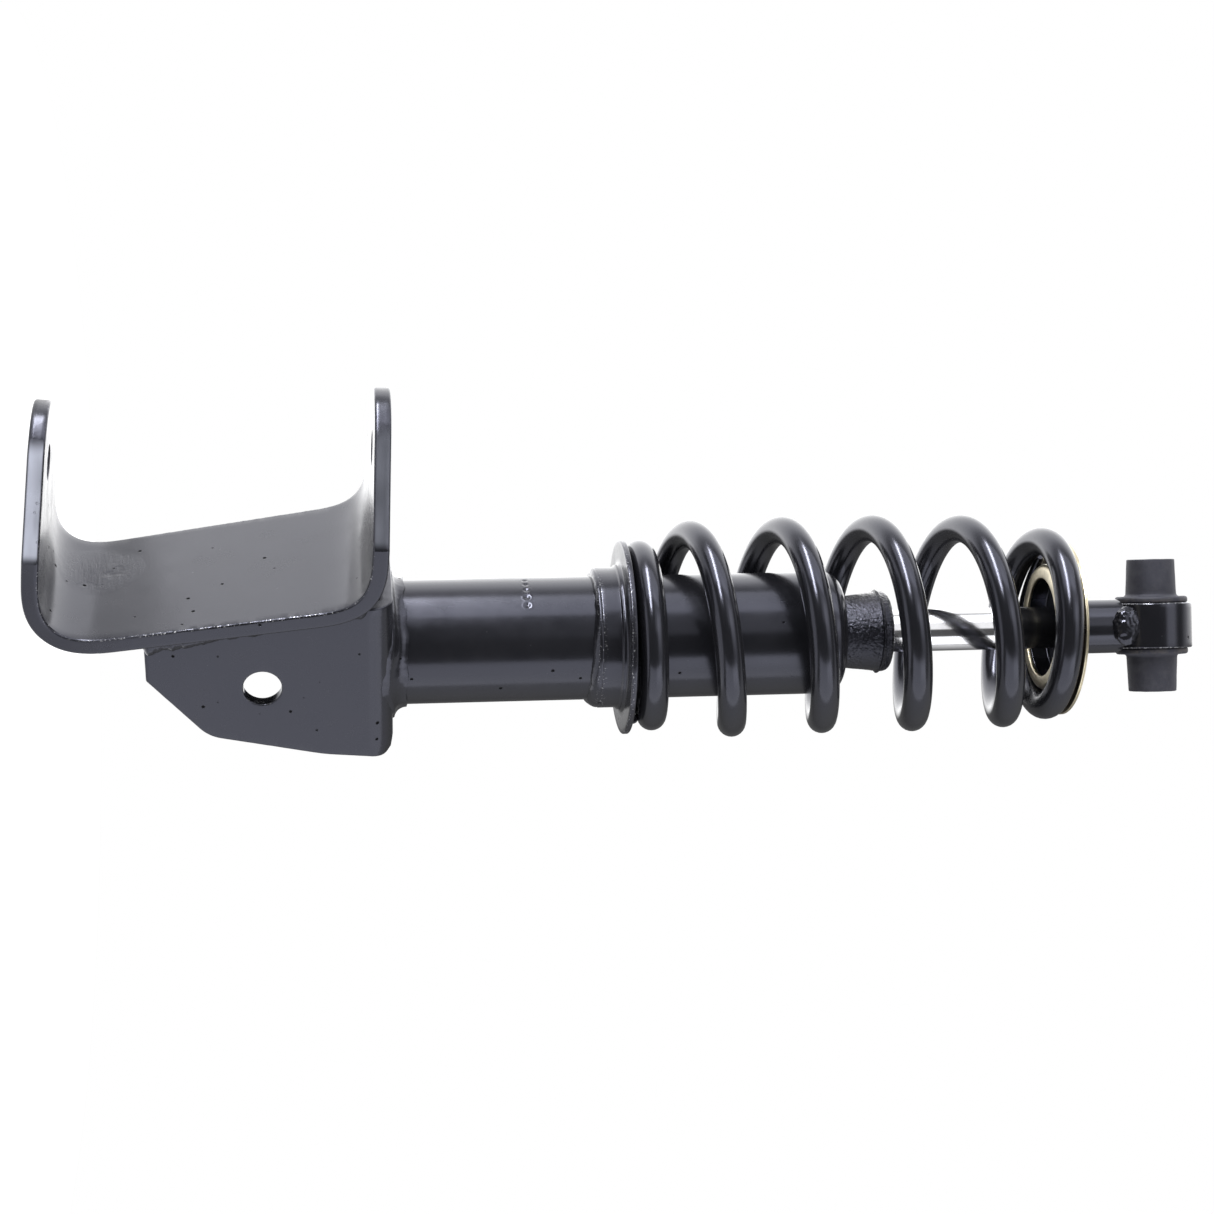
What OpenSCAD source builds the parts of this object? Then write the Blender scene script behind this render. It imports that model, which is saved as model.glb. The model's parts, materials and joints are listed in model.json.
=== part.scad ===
// Coil-over front strut with a C-shaped kingpin bracket.
// +Z runs along the strut axis towards the upper eye. The origin is the centre
// of the lower arm bore. The two kingpin ears point towards -X.

/* [Damper] */
// Outer diameter of the damper tube
tube_d = 47.6; // [47:0.2:48]
// Wall thickness of the damper tube
tube_wall = 2.2; // [1.8:0.2:2.4]
// Height of the rolled-over end of the damper tube
tube_top = 222.6; // [222.5:0.1:223]
// Diameter of the chromed piston rod
rod_d = 16.5; // [16:0.1:16.6]
// Outer diameter of the stem between the piston rod and the eye
stem_d = 21.4; // [20:0.2:22]
// Largest diameter of the bump stop
bump_d = 32.9; // [30:0.1:34]

/* [Kingpin bracket] */
// Thickness of the bent bracket plate
plate_t = 6; // [5:0.5:6]
// Width of the plate at the lower ear
lower_ear_w = 71; // [66:1:74]
// Width of the plate at the upper ear
upper_ear_w = 80; // [76:1:84]
// Radius of the rounded tip of each ear
ear_tip_r = 22.3; // [18:0.1:24]
// Lean of the lower ear away from square to the strut axis
lower_ear_lean = 5.5; // [4:0.5:7]
// Lean of the upper ear away from square to the strut axis
upper_ear_lean = 2.5; // [1:0.5:4]
// Diameter of the kingpin holes
kingpin_d = 12.2; // [10:0.1:14]
// Distance from the strut axis to the kingpin axis, level with the lower arm bore
kingpin_offset = 81.8; // [79:0.1:83]
// Angle between the kingpin axis and the strut axis
kingpin_lean = 1.85; // [1:0.05:3]

/* [Arm bracket] */
// Thickness of the folded arm bracket
arm_t = 5; // [4:0.5:5]
// Outer width of the arm bracket across its two side plates
arm_w = 60.5; // [59:0.5:62]
// Diameter of the lower arm bore
arm_bore_d = 14.2; // [12:0.1:16]
// Height of the outer face of the end wall
arm_wall_z = 48.2; // [48:0.1:48.6]

/* [Spring] */
// Wire diameter of the coil spring
wire_d = 11; // [10:0.5:11]
// Mean coil radius at the lower closed end
coil_end_r = 31.6; // [31.4:0.1:32]
// Mean coil radius at the upper closed end
coil_top_r = 32.1; // [32:0.1:32.4]
// Mean coil radius in the middle
coil_mid_r = 37.1; // [35:0.1:38]
// Rise of one free turn
coil_pitch = 36; // [35.5:0.1:36]
// Sideways bow of the spring at its middle
coil_bow = 2.6; // [0:0.1:3]
// Tilt of the free turns, as rise per millimetre of radius
coil_tilt = 0.045; // [0:0.005:0.05]
// Outer diameter of the lower spring seat
lower_seat_d = 75; // [72:1:78]
// Outer diameter of the upper spring seat
upper_seat_d = 69; // [66:1:72]
// Tilt of the upper end of the spring and of the seat on it
seat_tilt = 1.2; // [0:0.1:1.2]

/* [Upper eye] */
// Height of the eye's centre
eye_z = 350.2; // [349:0.1:352]
// Outer diameter of the eye ring
eye_d = 31.4; // [31:0.1:32]
// Width of the eye ring along its axis
eye_w = 17.8; // [16:0.2:19]
// Turn of the eye's axis about the strut axis, away from the X axis
eye_turn = -31; // [-45:1:45]
// Overall length of the two rubber bush halves together
bush_len = 52.4; // [48:0.2:56]
// Bore of the steel sleeve
sleeve_bore_d = 10.2; // [8:0.1:10.5]

/* [Hidden] */
$fn = 96;

// Looks of the pieces
black_paint = [0.07, 0.07, 0.08];
zinc = [0.82, 0.77, 0.62];
chrome = [0.85, 0.86, 0.88];
steel = [0.55, 0.56, 0.58];
rubber = [0.12, 0.12, 0.13];

// Damper
tube_r = tube_d / 2;
tube_in_r = tube_r - tube_wall;
tube_base_z = 37;
tube_roll_r = 6;
tube_mouth_r = 14;
rod_r = rod_d / 2;
rod_stud_r = 5;
fit = 0.05;
stack_gap = 0.05;
pressure_r = 16.5;
pressure_in_r = 15;
pressure_base_z = 46;
pressure_top_z = 206;
guide_top_z = 215.4;
stud_z = 168;
piston_z = 176;
piston_h = 12;
shoulder_z = 190;
stop_z = 192;
stop_h = 8;

// Kingpin bracket: the sheet's inner corners in the side view, as
// [height along the strut axis, distance towards the ears]
lower_corner = [-79, 23.1];
upper_corner = [39.6, 39.6];
bend_r = 14;
ear_reach = 120;
lower_taper = 57.8;
upper_taper = 63.2;
web_angle = atan2(upper_corner[1] - lower_corner[1], upper_corner[0] - lower_corner[0]);

// Arm bracket
arm_bend_r = 3;
arm_left_z = -42;
arm_top = 33;
arm_split_z = arm_wall_z - arm_t - arm_bend_r;

// Spring and seats
wire_r = wire_d / 2;
tip_r = 2;
thin_r = 1.6;
turn_first = -0.52;
turn_last = 5.91;
bow_first = -0.38;
bow_last = 5.62;
start_shift = 0.7;
end_shift = 0.5;
climb_end = 0.95;
close_start = 4.75;
close_end = 5.2;
bow_angle = 149;
lower_seat_z = 138.6;
lower_seat_t = 2.2;
hub_r = 27.1;
hub_z = 126.4;
upper_seat_z = 311.7;
seat_sheet = 0.6;
hat_z = 304.5;
hat_t = 1.6;
hat_r = 25;
hat_hole_r = 19.3;
cup_gap = 0.7;

// Stem and eye
cup_t = 2;
cup_z = upper_seat_z + 2 * seat_sheet + cup_gap;
stem_z = cup_z + cup_t;
eye_in_r = 12.8;
flange_r = 14.1;
flange_t = 2.5;
boss_root_r = 9.9;
boss_tip_r = 9.3;
sleeve_r = 6.95;

// A polygon's corners rounded to the given radii
function unit(v) = v / norm(v);
function corner(p, a, b, r, n) =
    let (u = unit(a - p), v = unit(b - p),
         half = acos(u * v) / 2,
         c = p + unit(u + v) * r / sin(half),
         from = p + u * r / tan(half) - c,
         to = p + v * r / tan(half) - c,
         start = atan2(from[1], from[0]),
         raw = atan2(to[1], to[0]) - start,
         sweep = raw > 180 ? raw - 360 : raw < -180 ? raw + 360 : raw)
    [for (i = [0:n]) c + r * [cos(start + sweep * i / n), sin(start + sweep * i / n)]];
function rounded(points, radii, n = 12) =
    let (count = len(points))
    [for (i = [0:count - 1])
        each radii[i] > 0
            ? corner(points[i], points[(i + count - 1) % count], points[(i + 1) % count], radii[i], n)
            : [points[i]]];

// Puts a side-view sketch, x up the strut axis and y towards the ears, in place
module side_view(thickness) {
    rotate([0, -90, 90]) linear_extrude(height = thickness, center = true) children();
}

// A ring of rectangular section about the strut axis
module ring(inner, outer, z, height) {
    translate([0, 0, z]) difference() {
        cylinder(r = outer, h = height);
        translate([0, 0, -1]) cylinder(r = inner, h = height + 2);
    }
}

// Puts children, drawn about the X axis, into the turned eye
module in_eye() {
    translate([0, 0, eye_z]) rotate([0, 0, eye_turn]) children();
}

module eye_cylinder(radius, length) {
    rotate([0, 90, 0]) cylinder(r = radius, h = length, center = true);
}

// ---- Kingpin bracket -------------------------------------------------------

lower_ear_dir = [sin(lower_ear_lean), cos(lower_ear_lean)];
upper_ear_dir = [sin(upper_ear_lean), cos(upper_ear_lean)];
web_dir = [cos(web_angle), sin(web_angle)];

// Corner of the sheet's outer face that lies outside an inner corner
function outer_corner(p, along, across) =
    let (n1 = [along[1], -along[0]], n2 = across,
         det = n1[0] * n2[1] - n1[1] * n2[0],
         d1 = n1 * p + plate_t, d2 = n2 * p + plate_t)
    [(d1 * n2[1] - d2 * n1[1]) / det, (n1[0] * d2 - n2[0] * d1) / det];

lower_outer = outer_corner(lower_corner, web_dir, [-lower_ear_dir[1], lower_ear_dir[0]]);
upper_outer = outer_corner(upper_corner, web_dir, [upper_ear_dir[1], -upper_ear_dir[0]]);

// Side view of the bent sheet; the outer face is taken from lower to upper ear
module bracket_profile() {
    inner = rounded([
        lower_corner + ear_reach * lower_ear_dir, lower_corner,
        upper_corner, upper_corner + ear_reach * upper_ear_dir
    ], [0, bend_r, bend_r, 0]);
    outer = rounded([
        upper_outer + ear_reach * upper_ear_dir, upper_outer,
        lower_outer, lower_outer + ear_reach * lower_ear_dir
    ], [0, bend_r + plate_t, bend_r + plate_t, 0]);
    polygon(concat(inner, outer));
}

// Everything inside the outer face of the bent sheet
module bracket_envelope() {
    polygon(rounded([
        upper_outer + ear_reach * upper_ear_dir, upper_outer,
        lower_outer, lower_outer + ear_reach * lower_ear_dir
    ], [0, bend_r + plate_t, bend_r + plate_t, 0]));
}

// Outline of an ear seen along the strut: straight flanks that meet the tip circle
module ear_outline(width, taper, tip_height) {
    root = [taper, width / 2];
    tip = [tip_height, 0];
    reach = norm(root - tip);
    touch = atan2(root[1] - tip[1], root[0] - tip[0]) - acos(ear_tip_r / reach);
    top = tip + ear_tip_r * [cos(touch), sin(touch)];
    low = root + unit(root - top) * 70;
    translate(tip) circle(r = ear_tip_r);
    polygon([top, low, [low[0], -low[1]], [top[0], -top[1]]]);
}

// Ear outlines are drawn with x towards the ears and y sideways
module along_strut(z, height) {
    translate([0, 0, z]) rotate([0, 0, 180]) linear_extrude(height = height) children();
}

function kingpin_x(z) = kingpin_offset + z * tan(kingpin_lean);

module kingpin_bracket() {
    split_z = -20;
    lower_ear_z = -76;
    upper_ear_z = 44;
    color(black_paint) difference() {
        intersection() {
            side_view(120) bracket_profile();
            rotate([90, 0, 90]) linear_extrude(height = 300, center = true) polygon([
                [-lower_ear_w / 2, lower_ear_z], [-lower_ear_w / 2, lower_ear_z - 30],
                [lower_ear_w / 2, lower_ear_z - 30], [lower_ear_w / 2, lower_ear_z],
                [upper_ear_w / 2, upper_ear_z - 6], [upper_ear_w / 2, upper_ear_z + 30],
                [-upper_ear_w / 2, upper_ear_z + 30], [-upper_ear_w / 2, upper_ear_z - 6]
            ]);
            union() {
                along_strut(-120, 120 + split_z)
                    ear_outline(lower_ear_w, lower_taper, kingpin_x(lower_ear_z));
                along_strut(split_z, 120)
                    ear_outline(upper_ear_w, upper_taper, kingpin_x(upper_ear_z));
            }
        }
        translate([-kingpin_offset, 0, 0]) rotate([0, -kingpin_lean, 0])
            cylinder(d = kingpin_d, h = 300, center = true);
    }
}

// ---- Arm bracket -----------------------------------------------------------

// Plan of the folded channel, x sideways and y up the strut axis
module channel_plan() {
    out = arm_w / 2;
    in = out - arm_t;
    wall_in = arm_wall_z - arm_t;
    outer = rounded([[out, -60], [out, arm_wall_z], [-out, arm_wall_z], [-out, -60]],
        [0, arm_bend_r + arm_t, arm_bend_r + arm_t, 0]);
    inner = rounded([[-in, -60], [-in, wall_in], [in, wall_in], [in, -60]],
        [0, arm_bend_r, arm_bend_r, 0]);
    polygon(concat(outer, inner));
}

module channel_side() {
    polygon(rounded([
        [arm_left_z, arm_top], [arm_left_z, 4.3], [-20.4, -20.9],
        [22, -30.3], [arm_wall_z, -33], [arm_wall_z, arm_top]
    ], [0, 1.5, 14, 60, 4.5, 0]));
}

// The folded channel between two heights on the strut axis
module arm_channel(from_z, to_z) {
    difference() {
        intersection() {
            rotate([90, 0, 90]) linear_extrude(height = 120, center = true) channel_plan();
            side_view(100) channel_side();
            translate([-60, -60, from_z]) cube([120, 120, to_z - from_z]);
        }
        side_view(110) bracket_envelope();
        cylinder(r = tube_r, h = 100);
        rotate([90, 0, 0]) cylinder(d = arm_bore_d, h = 100, center = true);
    }
}

// The two side plates, up to where they start to fold
module arm_bracket() {
    color(black_paint) arm_channel(arm_left_z - 10, arm_split_z);
}

// The end wall with its two folded corners
module arm_end_wall() {
    color(black_paint) arm_channel(arm_split_z, arm_wall_z + 10);
}

module bracket_weld_seams() {
    leg = 4;
    start = 46;
    length = 62;
    out = arm_w / 2;
    corner_point = lower_outer + start * web_dir;
    color(black_paint) rotate([0, -90, 90]) for (side = [0, 1]) {
        mirror([0, 0, side]) translate([corner_point[0], corner_point[1], out])
            rotate([0, 0, web_angle]) rotate([90, 0, 90])
                linear_extrude(height = length) polygon([[0, 0], [-leg, 0], [0, leg]]);
    }
}

module tube_weld() {
    leg = 4.8;
    color(black_paint) rotate_extrude() polygon([
        [tube_r, arm_wall_z], [tube_r + leg, arm_wall_z], [tube_r + leg - 0.6, arm_wall_z + 1],
        [tube_r + 1, arm_wall_z + leg - 0.8], [tube_r, arm_wall_z + leg]
    ]);
}

// ---- Damper ----------------------------------------------------------------

module damper_tube() {
    color(black_paint) rotate_extrude() polygon(concat(
        rounded([
            [tube_r, tube_base_z], [tube_r, tube_top], [tube_mouth_r, tube_top],
            [tube_mouth_r, tube_top - tube_wall]
        ], [0, tube_roll_r, 1, 0]),
        rounded([
            [tube_in_r, tube_top - tube_wall], [tube_in_r, tube_base_z]
        ], [0, 0])
    ));
}

module base_cap() {
    cup_depth = 6;
    sheet = 2.5;
    color(black_paint) difference() {
        translate([0, 0, tube_base_z + 1]) cylinder(r = tube_in_r, h = cup_depth);
        translate([0, 0, tube_base_z]) cylinder(r = tube_in_r - sheet, h = cup_depth - sheet + 1);
    }
}

module pressure_tube() {
    color(steel) ring(pressure_in_r, pressure_r, pressure_base_z, pressure_top_z - pressure_base_z);
}

module foot_valve() {
    seat_t = 2;
    base_top = tube_base_z + 7;
    color(steel) difference() {
        union() {
            translate([0, 0, base_top]) cylinder(r = pressure_r, h = pressure_base_z - base_top);
            translate([0, 0, pressure_base_z]) cylinder(r = pressure_in_r - stack_gap, h = 6);
            translate([0, 0, pressure_base_z + 6]) cylinder(r = 3, h = 4);
        }
        for (a = [0:60:300]) {
            rotate([0, 0, a]) translate([8, 0, base_top - 1]) cylinder(r = 1.5, h = 20);
        }
        translate([0, 0, base_top - 1]) cylinder(r = 4, h = seat_t + 1);
    }
}

module foot_valve_shims() {
    shim = 0.8;
    color(steel) for (i = [0:1]) {
        ring(3 + stack_gap, 12 - 2 * i, pressure_base_z + 6 + i * (shim + stack_gap), shim);
    }
}

module rod_guide() {
    spigot = 5.5;
    color(steel) difference() {
        union() {
            translate([0, 0, pressure_top_z]) cylinder(r = tube_in_r - stack_gap, h = guide_top_z - pressure_top_z);
            translate([0, 0, pressure_top_z - spigot]) cylinder(r = pressure_in_r - stack_gap, h = spigot);
        }
        cylinder(r = rod_r + 1.2, h = 300);
        translate([0, 0, pressure_top_z + 5]) ring(tube_in_r - 1.7, tube_in_r + 1, 0, 2);
        for (a = [0:90:270]) {
            rotate([0, 0, a]) translate([18.6, 0, 0]) cylinder(r = 1.2, h = 300);
        }
    }
}

module guide_bush() {
    color("tan") ring(rod_r + fit, rod_r + 1.2, pressure_top_z - 4, 13);
}

module guide_o_ring() {
    section_r = 0.85;
    color(rubber) translate([0, 0, pressure_top_z + 6]) rotate_extrude()
        translate([tube_in_r - section_r, 0]) circle(r = section_r, $fn = 24);
}

module rod_seal() {
    top = tube_top - tube_wall;
    lip_z = top + 1.4;
    color(rubber) rotate_extrude() polygon([
        [rod_r + fit, guide_top_z], [tube_in_r, guide_top_z], [tube_in_r, top],
        [rod_r + 4, top], [rod_r + 2, lip_z], [rod_r + fit, lip_z],
        [rod_r + fit, lip_z - 1.2], [rod_r + 1.2, top - 2], [rod_r + 1.2, guide_top_z + 2],
        [rod_r + fit, guide_top_z + 1]
    ]);
}

module bump_stop() {
    base_z = tube_top + stack_gap;
    bore_r = rod_r + 0.3;
    end_r = 13.9;
    lip_z = base_z + 14.6;
    top_z = base_z + 19.5;
    color(rubber) rotate_extrude() polygon(rounded([
        [bore_r, base_z], [end_r, base_z], [bump_d / 2 - 0.8, lip_z], [bump_d / 2, lip_z + 0.4],
        [bump_d / 2 - 0.6, lip_z + 1.4], [end_r + 1.6, top_z], [bore_r, top_z]
    ], [0, 1, 0, 0, 0, 2.6, 0], 6));
}

// ---- Lower spring seat -----------------------------------------------------

module lower_spring_seat() {
    plate_z = lower_seat_z - lower_seat_t;
    color(black_paint) rotate_extrude() polygon(rounded([
        [tube_r, hub_z], [hub_r, hub_z], [hub_r, plate_z], [lower_seat_d / 2, plate_z],
        [lower_seat_d / 2, lower_seat_z], [tube_r, lower_seat_z]
    ], [0, 0.8, 1.4, 0.6, 0.6, 0], 5));
}

module seat_weld() {
    color(black_paint) rotate_extrude() polygon([
        [tube_r, hub_z - 3], [tube_r + 1.6, hub_z - 2.2], [hub_r - 1, hub_z], [tube_r, hub_z]
    ]);
}

// ---- Coil spring -----------------------------------------------------------

function clamp01(x) = min(1, max(0, x));
function ramp(x) = x * x * (3 - 2 * x);

// Rise of the wire, in turns of full pitch, when the slope grows evenly at first
// and fades evenly at the end
function risen(t) =
    let (up = clamp01(t / climb_end), down = clamp01((t - close_start) / (close_end - close_start)))
    max(t, 0) - up * climb_end + up * up * climb_end / 2
        - down * down * (close_end - close_start) / 2 - max(0, t - close_end);
function coil_wire_r(t) =
    wire_r - (wire_r - tip_r) * clamp01((-0.1 - t) / 0.42)
        - (wire_r - thin_r) * clamp01((t - 5.6) / 0.3);
function coil_share(t) = clamp01((t - bow_first) / (bow_last - bow_first));
function coil_radius(t) =
    let (opened = ramp(clamp01((t - 0.35) / 0.75)), closed = ramp(clamp01((t - 4.2) / 0.9)))
    coil_end_r + (coil_mid_r - coil_end_r) * opened * (1 - closed)
        + (coil_top_r - coil_end_r) * closed;
function coil_point(t) =
    let (turn = bow_angle + 360 * t, r = coil_radius(t), swell = sin(180 * coil_share(t)),
         aside = coil_bow * swell + start_shift * ramp(clamp01((t - 0.4) / 0.6))
             + end_shift * ramp(clamp01(t - 4)),
         thinned = (wire_r - coil_wire_r(t)) * (t < 1 ? -1 : 1),
         tilt = coil_tilt * swell + tan(seat_tilt) * ramp(clamp01((t - 4.6) / 0.6)))
    [r * cos(turn) + aside * cos(bow_angle),
     r * sin(turn) + aside * sin(bow_angle),
     lower_seat_z + wire_r + thinned + coil_pitch * risen(t) + tilt * r * cos(turn - bow_angle)];

module coil_spring() {
    sides = 12;
    rings = 120;
    points = [for (i = [0:rings])
        let (t = turn_first + (turn_last - turn_first) * i / rings, step = 0.002,
             p = coil_point(t), ahead = unit(coil_point(t + step) - coil_point(t - step)),
             out = unit(cross(ahead, [0, 0, 1])), up = cross(out, ahead))
        for (k = [0:sides - 1])
            p + coil_wire_r(t) * (cos(360 * k / sides) * out + sin(360 * k / sides) * up)];
    skin = [for (i = [0:rings - 1], k = [0:sides - 1])
        let (a = i * sides + k, b = i * sides + (k + 1) % sides)
        [a, b, b + sides, a + sides]];
    color(black_paint) polyhedron(points = points, faces = concat(
        [[for (k = [sides - 1:-1:0]) k]], skin, [[for (k = [0:sides - 1]) rings * sides + k]]
    ));
}

// ---- Upper spring seat -----------------------------------------------------

// Tilts children about the middle of the upper seat's underside
module on_spring_end() {
    translate([0, 0, upper_seat_z]) rotate([0, 0, bow_angle]) rotate([0, -seat_tilt, 0])
        rotate([0, 0, -bow_angle]) translate([0, 0, -upper_seat_z]) children();
}

module upper_spring_seat() {
    flange_top = upper_seat_z + seat_sheet;
    color(zinc) on_spring_end() rotate_extrude() polygon(rounded([
        [hat_hole_r, hat_z], [hat_r, hat_z], [hat_r, upper_seat_z], [upper_seat_d / 2, upper_seat_z],
        [upper_seat_d / 2, flange_top], [hat_r - hat_t, flange_top],
        [hat_r - hat_t, hat_z + hat_t], [hat_hole_r, hat_z + hat_t]
    ], [0.5, 2.2, 0.5, 0.4, 0, 0, 0.6, 0.5], 6));
}

module upper_seat_washer() {
    color(zinc) on_spring_end()
        ring(hat_r - hat_t + 0.1, upper_seat_d / 2, upper_seat_z + seat_sheet, seat_sheet);
}

// ---- Rod, piston and stem --------------------------------------------------

module piston_rod() {
    color(chrome) {
        translate([0, 0, stud_z]) cylinder(r = rod_stud_r, h = shoulder_z - stud_z + 1);
        translate([0, 0, shoulder_z]) cylinder(r = rod_r, h = eye_z - eye_d / 2 - 1 - shoulder_z);
    }
}

module rebound_stop() {
    color(steel) ring(rod_r, rod_r + 4, stop_z, stop_h);
}

module piston() {
    groove_z = piston_z + 4;
    groove_h = 5;
    color(steel) difference() {
        translate([0, 0, piston_z]) cylinder(r = pressure_in_r - 0.4, h = piston_h);
        cylinder(r = rod_stud_r, h = 300);
        ring(pressure_in_r - 1.6, pressure_in_r + 1, groove_z, groove_h);
        for (a = [0:45:315]) {
            rotate([0, 0, a]) translate([9, 0, 0]) cylinder(r = 1.4, h = 300);
        }
    }
}

module piston_band() {
    color("beige") ring(pressure_in_r - 1.6, pressure_in_r - fit, piston_z + 4, 5);
}

module valve_shims() {
    shim = 0.6;
    color(steel) for (i = [0:1]) {
        ring(rod_stud_r, 12 - 2 * i, piston_z + piston_h + i * shim, shim);
        ring(rod_stud_r, 12 - 2 * i, piston_z - (i + 1) * shim, shim);
    }
    color(steel) ring(rod_stud_r, 9, piston_z + piston_h + 2 * shim, shoulder_z - piston_z - piston_h - 2 * shim);
}

module piston_nut() {
    nut_top = piston_z - 1.2;
    color(steel) difference() {
        translate([0, 0, stud_z + 0.5]) cylinder(r = 9.8, h = nut_top - stud_z - 0.5, $fn = 6);
        cylinder(r = rod_stud_r, h = 300);
    }
}

module seat_retainer() {
    wall_t = 1.9;
    wall_r = hat_r - hat_t - 0.4;
    foot = hat_z + hat_t + 0.5;
    color(black_paint) rotate_extrude() polygon([
        [rod_r, cup_z], [wall_r - wall_t, cup_z], [wall_r - wall_t, foot], [wall_r, foot],
        [wall_r, cup_z], [wall_r + 2.3, cup_z], [wall_r + 2.3, stem_z], [rod_r, stem_z]
    ]);
}

module rod_stem() {
    color(black_paint) difference() {
        translate([0, 0, stem_z]) cylinder(d = stem_d, h = eye_z - stem_z);
        cylinder(r = rod_r, h = eye_z - eye_d / 2 - 1);
        in_eye() eye_cylinder(eye_d / 2, 100);
    }
}

module eye_ring() {
    color(black_paint) in_eye() difference() {
        eye_cylinder(eye_d / 2, eye_w);
        eye_cylinder(eye_in_r, eye_w + 2);
    }
}

module eye_weld() {
    blob_r = 7.5;
    color(black_paint) difference() {
        in_eye() for (side = [-1, 1]) {
            intersection() {
                translate([0, side * 8.5, -12]) sphere(r = blob_r);
                translate([0, side * 15, -9]) cube([eye_w - 1, 24, 18], center = true);
            }
        }
        cylinder(d = stem_d, h = 500);
        in_eye() eye_cylinder(eye_d / 2, 100);
    }
}

// One rubber half: a spigot in the eye, a flange outside it and a tapered boss
module bush_half(side) {
    face = eye_w / 2 + stack_gap;
    color(rubber) in_eye() rotate([0, 90 * side, 0]) rotate_extrude() polygon(rounded([
        [sleeve_r + fit, stack_gap], [eye_in_r - stack_gap, stack_gap], [eye_in_r - stack_gap, face],
        [flange_r, face], [flange_r, face + flange_t], [boss_root_r, face + flange_t],
        [boss_tip_r, bush_len / 2], [sleeve_r + fit, bush_len / 2]
    ], [0, 0, 0, 0.6, 1, 1, 0.5, 0], 5));
}

module eye_bush_front() {
    bush_half(1);
}

module eye_bush_rear() {
    bush_half(-1);
}

module bush_sleeve() {
    sleeve_len = bush_len - 0.4;
    color(steel) in_eye() difference() {
        eye_cylinder(sleeve_r, sleeve_len);
        eye_cylinder(sleeve_bore_d / 2, sleeve_len + 2);
    }
}

kingpin_bracket();
arm_bracket();
arm_end_wall();
bracket_weld_seams();
tube_weld();
damper_tube();
base_cap();
pressure_tube();
foot_valve();
foot_valve_shims();
rod_guide();
guide_bush();
guide_o_ring();
rod_seal();
lower_spring_seat();
seat_weld();
bump_stop();
coil_spring();
upper_spring_seat();
upper_seat_washer();
piston_rod();
rebound_stop();
piston();
piston_band();
valve_shims();
piston_nut();
seat_retainer();
rod_stem();
eye_ring();
eye_weld();
eye_bush_front();
eye_bush_rear();
bush_sleeve();
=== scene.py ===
"""Looks of the strut assembly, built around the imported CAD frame.

Mesh code works in millimetres, in the frame's axes: +Z runs up the strut axis, the origin is the
centre of the lower arm bore, and "reach" is the distance from the strut axis towards the kingpin
ears, which is -X. Meshes are scaled to metres when an object is made.
"""
import json
import math

import bmesh
import bpy
from mathutils import Matrix, Vector
from mathutils import noise as field
from mathutils.geometry import delaunay_2d_cdt


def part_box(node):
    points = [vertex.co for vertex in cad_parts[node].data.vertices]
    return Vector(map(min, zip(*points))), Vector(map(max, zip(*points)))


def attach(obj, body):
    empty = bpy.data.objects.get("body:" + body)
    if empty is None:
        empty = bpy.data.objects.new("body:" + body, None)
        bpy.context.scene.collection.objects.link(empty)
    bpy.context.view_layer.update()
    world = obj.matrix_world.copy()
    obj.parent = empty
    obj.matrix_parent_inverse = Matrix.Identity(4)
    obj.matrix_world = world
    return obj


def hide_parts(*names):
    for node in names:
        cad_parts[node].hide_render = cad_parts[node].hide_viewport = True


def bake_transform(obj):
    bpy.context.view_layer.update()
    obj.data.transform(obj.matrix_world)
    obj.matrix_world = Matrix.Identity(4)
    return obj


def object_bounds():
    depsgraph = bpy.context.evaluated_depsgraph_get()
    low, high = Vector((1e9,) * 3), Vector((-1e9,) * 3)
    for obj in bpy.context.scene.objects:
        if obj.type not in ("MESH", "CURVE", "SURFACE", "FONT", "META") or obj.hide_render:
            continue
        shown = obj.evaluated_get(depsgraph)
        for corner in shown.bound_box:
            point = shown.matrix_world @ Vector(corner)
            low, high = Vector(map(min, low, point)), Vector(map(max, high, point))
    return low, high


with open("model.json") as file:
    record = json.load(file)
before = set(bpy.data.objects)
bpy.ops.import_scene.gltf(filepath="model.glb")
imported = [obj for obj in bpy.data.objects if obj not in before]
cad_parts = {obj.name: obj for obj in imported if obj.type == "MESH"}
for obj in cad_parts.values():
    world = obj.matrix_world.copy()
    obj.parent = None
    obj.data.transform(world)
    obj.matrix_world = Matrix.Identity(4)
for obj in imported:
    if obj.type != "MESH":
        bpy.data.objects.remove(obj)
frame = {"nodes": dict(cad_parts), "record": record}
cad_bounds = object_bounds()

MM = 0.001
UP = Vector((0, 0, 1))
BLACK = (0.0115, 0.0117, 0.0140, 1)
BLUE_SHEEN = (0.78, 0.80, 1.0, 1)
BARE = (0.62, 0.62, 0.64, 1)
# Pale blue-white painted sheen: a painted reflection of the white backdrop on the bracket ears
PAINTED_SHEEN = (0.46, 0.48, 0.56, 1)
SOOT = (0.016, 0.016, 0.018, 1)
DUST = (0.30, 0.30, 0.30, 1)
# Near black painted shade for the inside of the paint pits
PIT_SHADE = (0.003, 0.003, 0.003, 1)
DRIED = (0.13, 0.11, 0.085, 1)
DUST_ON_RUBBER = (0.25, 0.25, 0.24, 1)
STAIN = (0.25, 0.22, 0.16, 1)
CHROME = (0.78, 0.78, 0.80, 1)
CHROME_HAZE = (0.68, 0.68, 0.70, 1)
WHITE = (1, 1, 1, 1)
FLOOR = (0.35, 0.35, 0.35, 1)

# Brightness in reflections of the room on the camera's side, of the glow in it and of its window
ROOM = 0.10
GLOW = 1.1
WINDOW = 2.2

# Camera: where it looks from, in degrees and metres, and the roll that lays the strut on its side
AIM = Vector((-0.0100, 0.0061, 0.1318))
AZIMUTH = -31.36
ELEVATION = -7.11
ROLL = -88.81
DISTANCE = 0.8875
LENS = 68.04


def low(node):
    """Lowest corner of a CAD node, in millimetres."""
    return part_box(node)[0] / MM


def high(node):
    """Highest corner of a CAD node, in millimetres."""
    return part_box(node)[1] / MM


# ---- Sizes, from the frame where it holds them ----

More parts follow.
